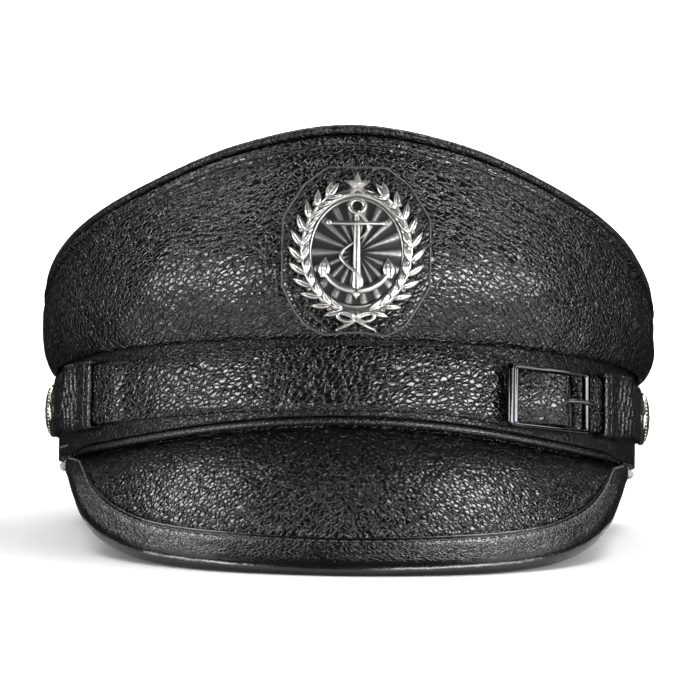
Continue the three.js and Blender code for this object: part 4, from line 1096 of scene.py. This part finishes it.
FACE = PATCH_WALL + 2 * FIT + BADGE_PLATE


def cast(points, ring=False, caps=True, low=None, high=None):
    """A closed loft in plaque space as a (vertices, faces, coordinates, high) body."""
    verts, faces, uv = grid(points, ring=ring, loop=True, caps=caps)
    z = verts[:, 2]
    a = FACE if low is None else low
    b = z.max() if high is None else high
    # painted shade, along with the badge's antiqued finish: points nearer the face get lower high values
    # and so the dark colour
    return plaque(verts), faces, uv, np.clip((z - a) / max(b - a, 1e-6), 0, 1)


def leaf(x, y, angle, length, width, rise=0.75, lift=0.15):
    """A laurel leaf with a midrib, its root at (x, y) and its point along the angle."""
    sections = []
    c, s = cos(angle), sin(angle)
    v = np.array([-1, -0.75, -0.45, -0.14, 0, 0.14, 0.45, 0.75, 1])
    for t in np.linspace(0, 1, 13):
        half = width / 2 * max(0.05, sin(pi * min(1, 0.06 + 0.94 * t) ** 0.85)) ** 0.85
        body = rise * sin(pi * min(0.94, 0.12 + 0.85 * t)) ** 0.6
        waves = 1 + 0.1 * np.sin(9 * t * pi + 2 * abs(v))
        z = lift + body * (1 - v**2) ** 0.5 * waves - 0.3 * body * hump(v, 0, 0.12)
        local = [(t * length, half * q, h) for q, h in zip(v, z)]
        local += [(t * length, half * 0.8, -0.25), (t * length, -half * 0.8, -0.25)]
        sections.append([(x + a * c - b * s, y + a * s + b * c, FACE + h) for a, b, h in local])
    return cast(np.array(sections), low=FACE + lift - 0.1, high=FACE + lift + rise)


def above(x, y, z):
    """Points of the badge this far above its face."""
    return np.stack(np.broadcast_arrays(x, y, FACE + z), -1)


def tube(path, radius, sides=10, flatten=1.0, low=FACE - 0.1, ring=False):
    return cast(sweep(path, radius, sides, flatten), ring=ring, caps=not ring, low=low)


def badge():
    angles = circle(160)
    rx, ry, cy = 0.8 * BADGE_W, 0.84 * BADGE_H, -0.03 * BADGE_H
    # (share of the radius, outward) of the oval plate with its raised rim
    profile = [
        (0.02, -BADGE_PLATE), (0.5, -BADGE_PLATE), (0.985, -BADGE_PLATE), (1.0, -0.9), (1.0, -0.15),
        (0.985, 0.12), (0.96, 0.3), (0.93, 0.34), (0.9, 0.22), (0.885, -0.1), (0.87, -0.3),
        (0.86, -0.12), (0.845, -0.02), (0.83, -0.12), (0.82, -0.4),
    ]
    profile += [(s, -0.42) for s in np.linspace(0.8, 0.04, 20)]
    share = np.array([p[0] for p in profile])[:, None]
    z = np.array([p[1] for p in profile])[:, None] + 0 * angles[None, :]
    q = angles[None, :]
    front = (np.arange(len(profile)) > 4)[:, None]
    z = z + front * 0.13 * hump(share, 0.935, 0.03) * np.cos(64 * q + 30 * (share - 0.93))
    rays = np.clip(1.35 * np.cos(18 * q), -0.2, 1) * 0.5 + 0.1
    z = z + front * (share < 0.81) * 0.42 * rays * step(share, 0.06, 0.3)
    plate_points = above(rx * share * np.cos(q), cy + ry * share * np.sin(q), z)
    verts, faces, uv = grid(plate_points, loop=True, caps=True)
    # painted shade, along with the antiqued finish: the plate is darker the deeper it lies
    parts = [(plaque(verts), faces, uv, np.clip((z.ravel() + 0.46) / 0.6, 0, 1))]
    wreath_x, wreath_y = 0.79 * BADGE_W, 0.82 * BADGE_H
    # wreath: two branches of leaves that rise from the bottom, with berries between them
    for side in (-1, 1):
        stem = []
        for k in range(11):
            a = radians(-76 + 132 * k / 10)
            bx, by = side * wreath_x * cos(a), wreath_y * sin(a)
            stem.append((bx, by, FACE + 0.35))
            along = atan2(wreath_y * cos(a), -wreath_x * sin(a))
            along = along if side > 0 else pi - along
            size = 1.0 - 0.018 * abs(k - 4)
            parts.append(leaf(bx, by, along - side * 0.62, 5.5 * size, 2.3 * size, 0.85, 0.2))
            parts.append(leaf(bx, by, along + side * 0.5, 4.9 * size, 2.0 * size, 0.8, 0.32))
            if k % 2:
                parts.append(ball(plaque, bx + side * 0.9 * cos(a), by + 1.3 * sin(a),
                                  FACE + 0.95, 0.58))
        parts.append(leaf(stem[-1][0], stem[-1][1], radians(90 + side * 35), 5.2, 2.1, 0.8, 0.3))
        parts.append(tube(np.array(stem), 0.42, 8, low=FACE - 0.2))
        foot = [(side * 3.6, -0.985 * BADGE_H + 3.2, FACE + 0.4), (side * 1.4, -0.87 * BADGE_H, FACE + 0.7),
                (-side * 1.9, -0.98 * BADGE_H, FACE + 0.6), (-side * 5.0, -1.05 * BADGE_H, FACE + 0.2)]
        rows = [(k, *p) for k, p in enumerate(foot)]
        s = np.linspace(0, 3, 22)
        curl = np.stack([smooth(rows, c, s, False) for c in (1, 2, 3)], 1)
        parts.append(tube(curl, mix(0.62, 0.4, s / 3), 8, low=FACE - 0.2))
    # ribbon knot where the branches cross
    for side in (-1, 1):
        t = np.linspace(0, 2 * pi, 25)
        bow = above(side * (2.5 + 2.1 * np.cos(t)),
                    -0.88 * BADGE_H + 1.25 * np.sin(t) + 0.3 * np.cos(t), 0.85)
        parts.append(tube(bow[:-1], 0.5, 8, 1.4, ring=True))
    parts.append(ball(plaque, 0, -0.87 * BADGE_H, FACE + 0.9, 1.25, 9, 14, 0.9))
    # anchor
    ys = np.linspace(-0.56 * BADGE_H, 0.47 * BADGE_H, 24)
    parts.append(tube(above(0, ys, 0.75), mix(1.25, 0.72, np.linspace(0, 1, 24)), 8, 0.85))
    stock_half, stock_y = 0.4 * BADGE_W, 0.345 * BADGE_H
    xs = np.linspace(-stock_half, stock_half, 24)
    parts.append(tube(above(xs, stock_y, 0.95), 0.78 - 0.3 * abs(xs) / stock_half, 10, 0.95))
    for x in (-stock_half, stock_half):
        parts.append(ball(plaque, x, stock_y, FACE + 0.9, 0.85, 7, 12))
    t = circle(32)
    ring = above(1.85 * np.cos(t), 0.57 * BADGE_H + 1.85 * np.sin(t), 0.75)
    parts.append(tube(ring, 0.52, ring=True))
    arm_r, arm_y = 0.49 * BADGE_W, -0.13 * BADGE_H
    t = np.radians(np.linspace(202, 338, 45))
    arms = above(arm_r * np.cos(t), arm_y + arm_r * 0.98 * np.sin(t), 0.7)
    thick = 0.45 + 0.75 * np.sin(np.linspace(0, pi, 45)) ** 0.7
    parts.append(tube(arms, thick, 10, 0.85))
    for side in (-1, 1):
        x, y = side * (arm_r * 0.93 + 0.35), arm_y - arm_r * 0.37 - 1.9
        parts.append(leaf(x, y, radians(90 + side * 6), 5.6, 3.6, 1.15, 0.35))
    parts.append(leaf(0, -0.5 * BADGE_H, radians(-90), 3.1, 2.6, 1.0, 0.3))
    # rope that winds down from the ring round the shank
    s = np.linspace(0, 1, 90)
    wind = 2.3 * pi * s + 0.4
    rope = above((0.7 + 3.4 * np.sin(np.pi * s) ** 0.8) * np.sin(wind),
                 mix(0.5 * BADGE_H, -0.5 * BADGE_H, s), 1.05 + 0.5 * np.cos(wind))
    parts.append(tube(rope, 0.42 + 0.07 * np.sin(s * 260), 8))
    # star with ridged points
    star_y = 0.86 * BADGE_H
    ringed = []
    # (share of the radius, outward) of the star's rows, and how far each row dips between the points
    for share, z, dip in ((0.02, 1.75, 0), (0.55, 1.25, 0.38), (1.0, 0.55, 0.38), (1.0, -0.6, 0)):
        row = []
        for k in range(10):
            a = pi / 2 + k * pi / 5
            r = 3.7 * share * (0.44 if k % 2 else 1.0)
            row.append((r * cos(a), star_y + r * sin(a), FACE + z - dip * (k % 2)))
        ringed.append(row)
    star = cast(np.array(ringed), low=FACE - 1.8)
    joined("badge_star", [star], SILVER, flat=True, slot="aged_silver")
    joined("badge_cast", parts, SILVER, replaces=["badge"], slot="aged_silver")


crown_wall()
crown_panel()
head_ring("headband_leather", band_section, LEATHER_BAND, replaces=["headband"], slot="leather")
sweatband()
piping()
visor()
strap_main()
strap_end()
keeper("keeper_left_leather", -1, strap_half(-KEEPER_TURN), "keeper_left")
keeper("keeper_right_leather", 1, STRAP_END_W / 2, "keeper_right")
buckle()
button("button_left_metal", "button_left", -BUTTON_TURN)
button("button_right_metal", "button_right", BUTTON_TURN)
patch()
badge()


# Stage, light and camera
def stage():
    """A pale floor and sweep, of which the dark leather mirrors only the part before the hat."""
    paint = Paint("pale_floor")
    soft = paint.noise(paint.place(), 3.0, 2.0)[0]
    tone = paint.blend(paint.fade(soft, 0.3, 0.7), (0.93, 0.93, 0.93, 1), (0.96, 0.96, 0.96, 1))
    paint.shade(Base_Color=tone, Roughness=0.8)
    # far from the hat the floor glows a little, so that it stays pale where the lamps don't reach
    away = paint.vector("LENGTH", paint.place())["Value"]
    paint.shade(Emission_Color=(1, 1, 1, 1), Emission_Strength=paint.fade(away, 0.5, 1.8, 0.0, 0.7))
    edge, side, before, behind = 12.0, 0.5, -0.45, -0.02
    wide, close = (-edge, -side, side, edge), (-side, side)
    far, near = [(-edge, 0.0), (before, 0.0)], [(before, 0.0), (behind, 0.0)]
    start, radius, top = 2.0, 1.6, 5.0
    sweep_up = [(start + radius * sin(a), radius * (1 - cos(a)))
                for a in np.linspace(0, pi / 2, 16)]
    sweep_up = [(behind, 0.0)] + sweep_up + [(start + radius, top)]
    for name, columns, rows in (
        ("floor_front", wide, far), ("floor_near", close, near), ("floor_left", wide[:2], near),
        ("floor_right", wide[2:], near), ("floor_back", wide, sweep_up),
    ):
        verts = [(x, y, z) for y, z in rows for x in columns]
        count = len(columns)
        faces = [(k * count + j, k * count + j + 1, k * count + j + count + 1, k * count + j + count)
                 for k in range(len(rows) - 1) for j in range(count - 1)]
        mesh = bpy.data.meshes.new(name)
        mesh.from_pydata(verts, [], faces)
        mesh.polygons.foreach_set("use_smooth", [True] * len(mesh.polygons))
        floor = bpy.data.objects.new(name, mesh)
        bpy.context.scene.collection.objects.link(floor)
        mesh.materials.append(paint.material)
        floor.visible_glossy = name == "floor_near"


def softbox(name, place, target, size, watts, spread=180):
    light = bpy.data.lights.new(name, "AREA")
    light.shape = "RECTANGLE"
    light.size, light.size_y = size
    light.energy = watts
    light.spread = radians(spread)
    lamp = bpy.data.objects.new(name, light)
    lamp.location = place
    lamp.rotation_euler = (Vector(target) - Vector(place)).to_track_quat("-Z", "Y").to_euler()
    bpy.context.scene.collection.objects.link(lamp)


def world_light(strength):
    world = bpy.data.worlds.new("studio")
    bpy.context.scene.world = world
    world.use_nodes = True
    world.node_tree.nodes["Background"].inputs["Color"].default_value = (1, 1, 1, 1)
    world.node_tree.nodes["Background"].inputs["Strength"].default_value = strength


def camera():
    # focal length and the picture's size and middle in pixels, distance and target in millimetres
    focal, picture, middle = 4160.0, 700, 348.3
    distance, look = 1250.0, np.array([0.0, 0.0, 32.8])
    rise, roll = radians(6.5), radians(0.8)
    ahead = np.array([0, cos(rise), sin(rise)])
    right = np.array([1.0, 0, 0])
    up = np.cross(right, ahead)
    cam_right = right * cos(roll) + up * sin(roll)
    cam_up = -right * sin(roll) + up * cos(roll)
    c, s = cos(LEAN), sin(LEAN)

    def turned(v):
        return Vector((v[0], v[1] * c + v[2] * s, -v[1] * s + v[2] * c))

    data = bpy.data.cameras.new("camera")
    data.sensor_width = 36
    data.lens = focal * data.sensor_width / picture
    data.shift_x = (picture / 2 - middle) / picture
    data.clip_start, data.clip_end = 0.05, 60
    cam = bpy.data.objects.new("camera", data)
    basis = Matrix((turned(cam_right), turned(cam_up), -turned(ahead))).transposed()
    cam.matrix_world = Matrix.Translation(Vector(to_world(look - ahead * distance))) @ basis.to_4x4()
    bpy.context.scene.collection.objects.link(cam)
    bpy.context.scene.camera = cam


def aim(turn, rise):
    """A lamp's place in metres at this turn from the hat's front towards +X, and this rise."""
    away, low = 1.3, 0.05
    a, b = radians(turn), radians(rise)
    return (away * cos(b) * sin(a), -away * cos(b) * cos(a), away * sin(b) + low)


stage()
world_light(0.02)
HAT_MIDDLE = (0, 0, 0.08)
# name, turn, rise, width, height and watts of each softbox round the hat
for name, turn, rise, wide, tall, watts in (
    ("left", -50, 4, 0.5, 0.34, 11), ("left_far", -76, 5, 0.5, 0.34, 6),
    ("right_near", 28, 4, 0.5, 0.34, 10), ("right", 50, 4, 0.5, 0.34, 12),
    ("right_far", 73, 6, 0.5, 0.34, 6),
    ("high_left", -132, 52, 0.55, 0.5, 6.5), ("high_right", 136, 58, 0.55, 0.5, 10),
    ("top_left", -82, 42, 1.0, 0.7, 3), ("top_right", 90, 42, 1.0, 0.7, 3.5),
):
    softbox(name, aim(turn, rise), HAT_MIDDLE, (wide, tall), watts)
softbox("behind", (0.0, 1.9, 2.4), (0.0, 2.2, 0.0), (2.2, 1.0), 55, 110)
camera()
bpy.context.scene.view_settings.view_transform = "Standard"
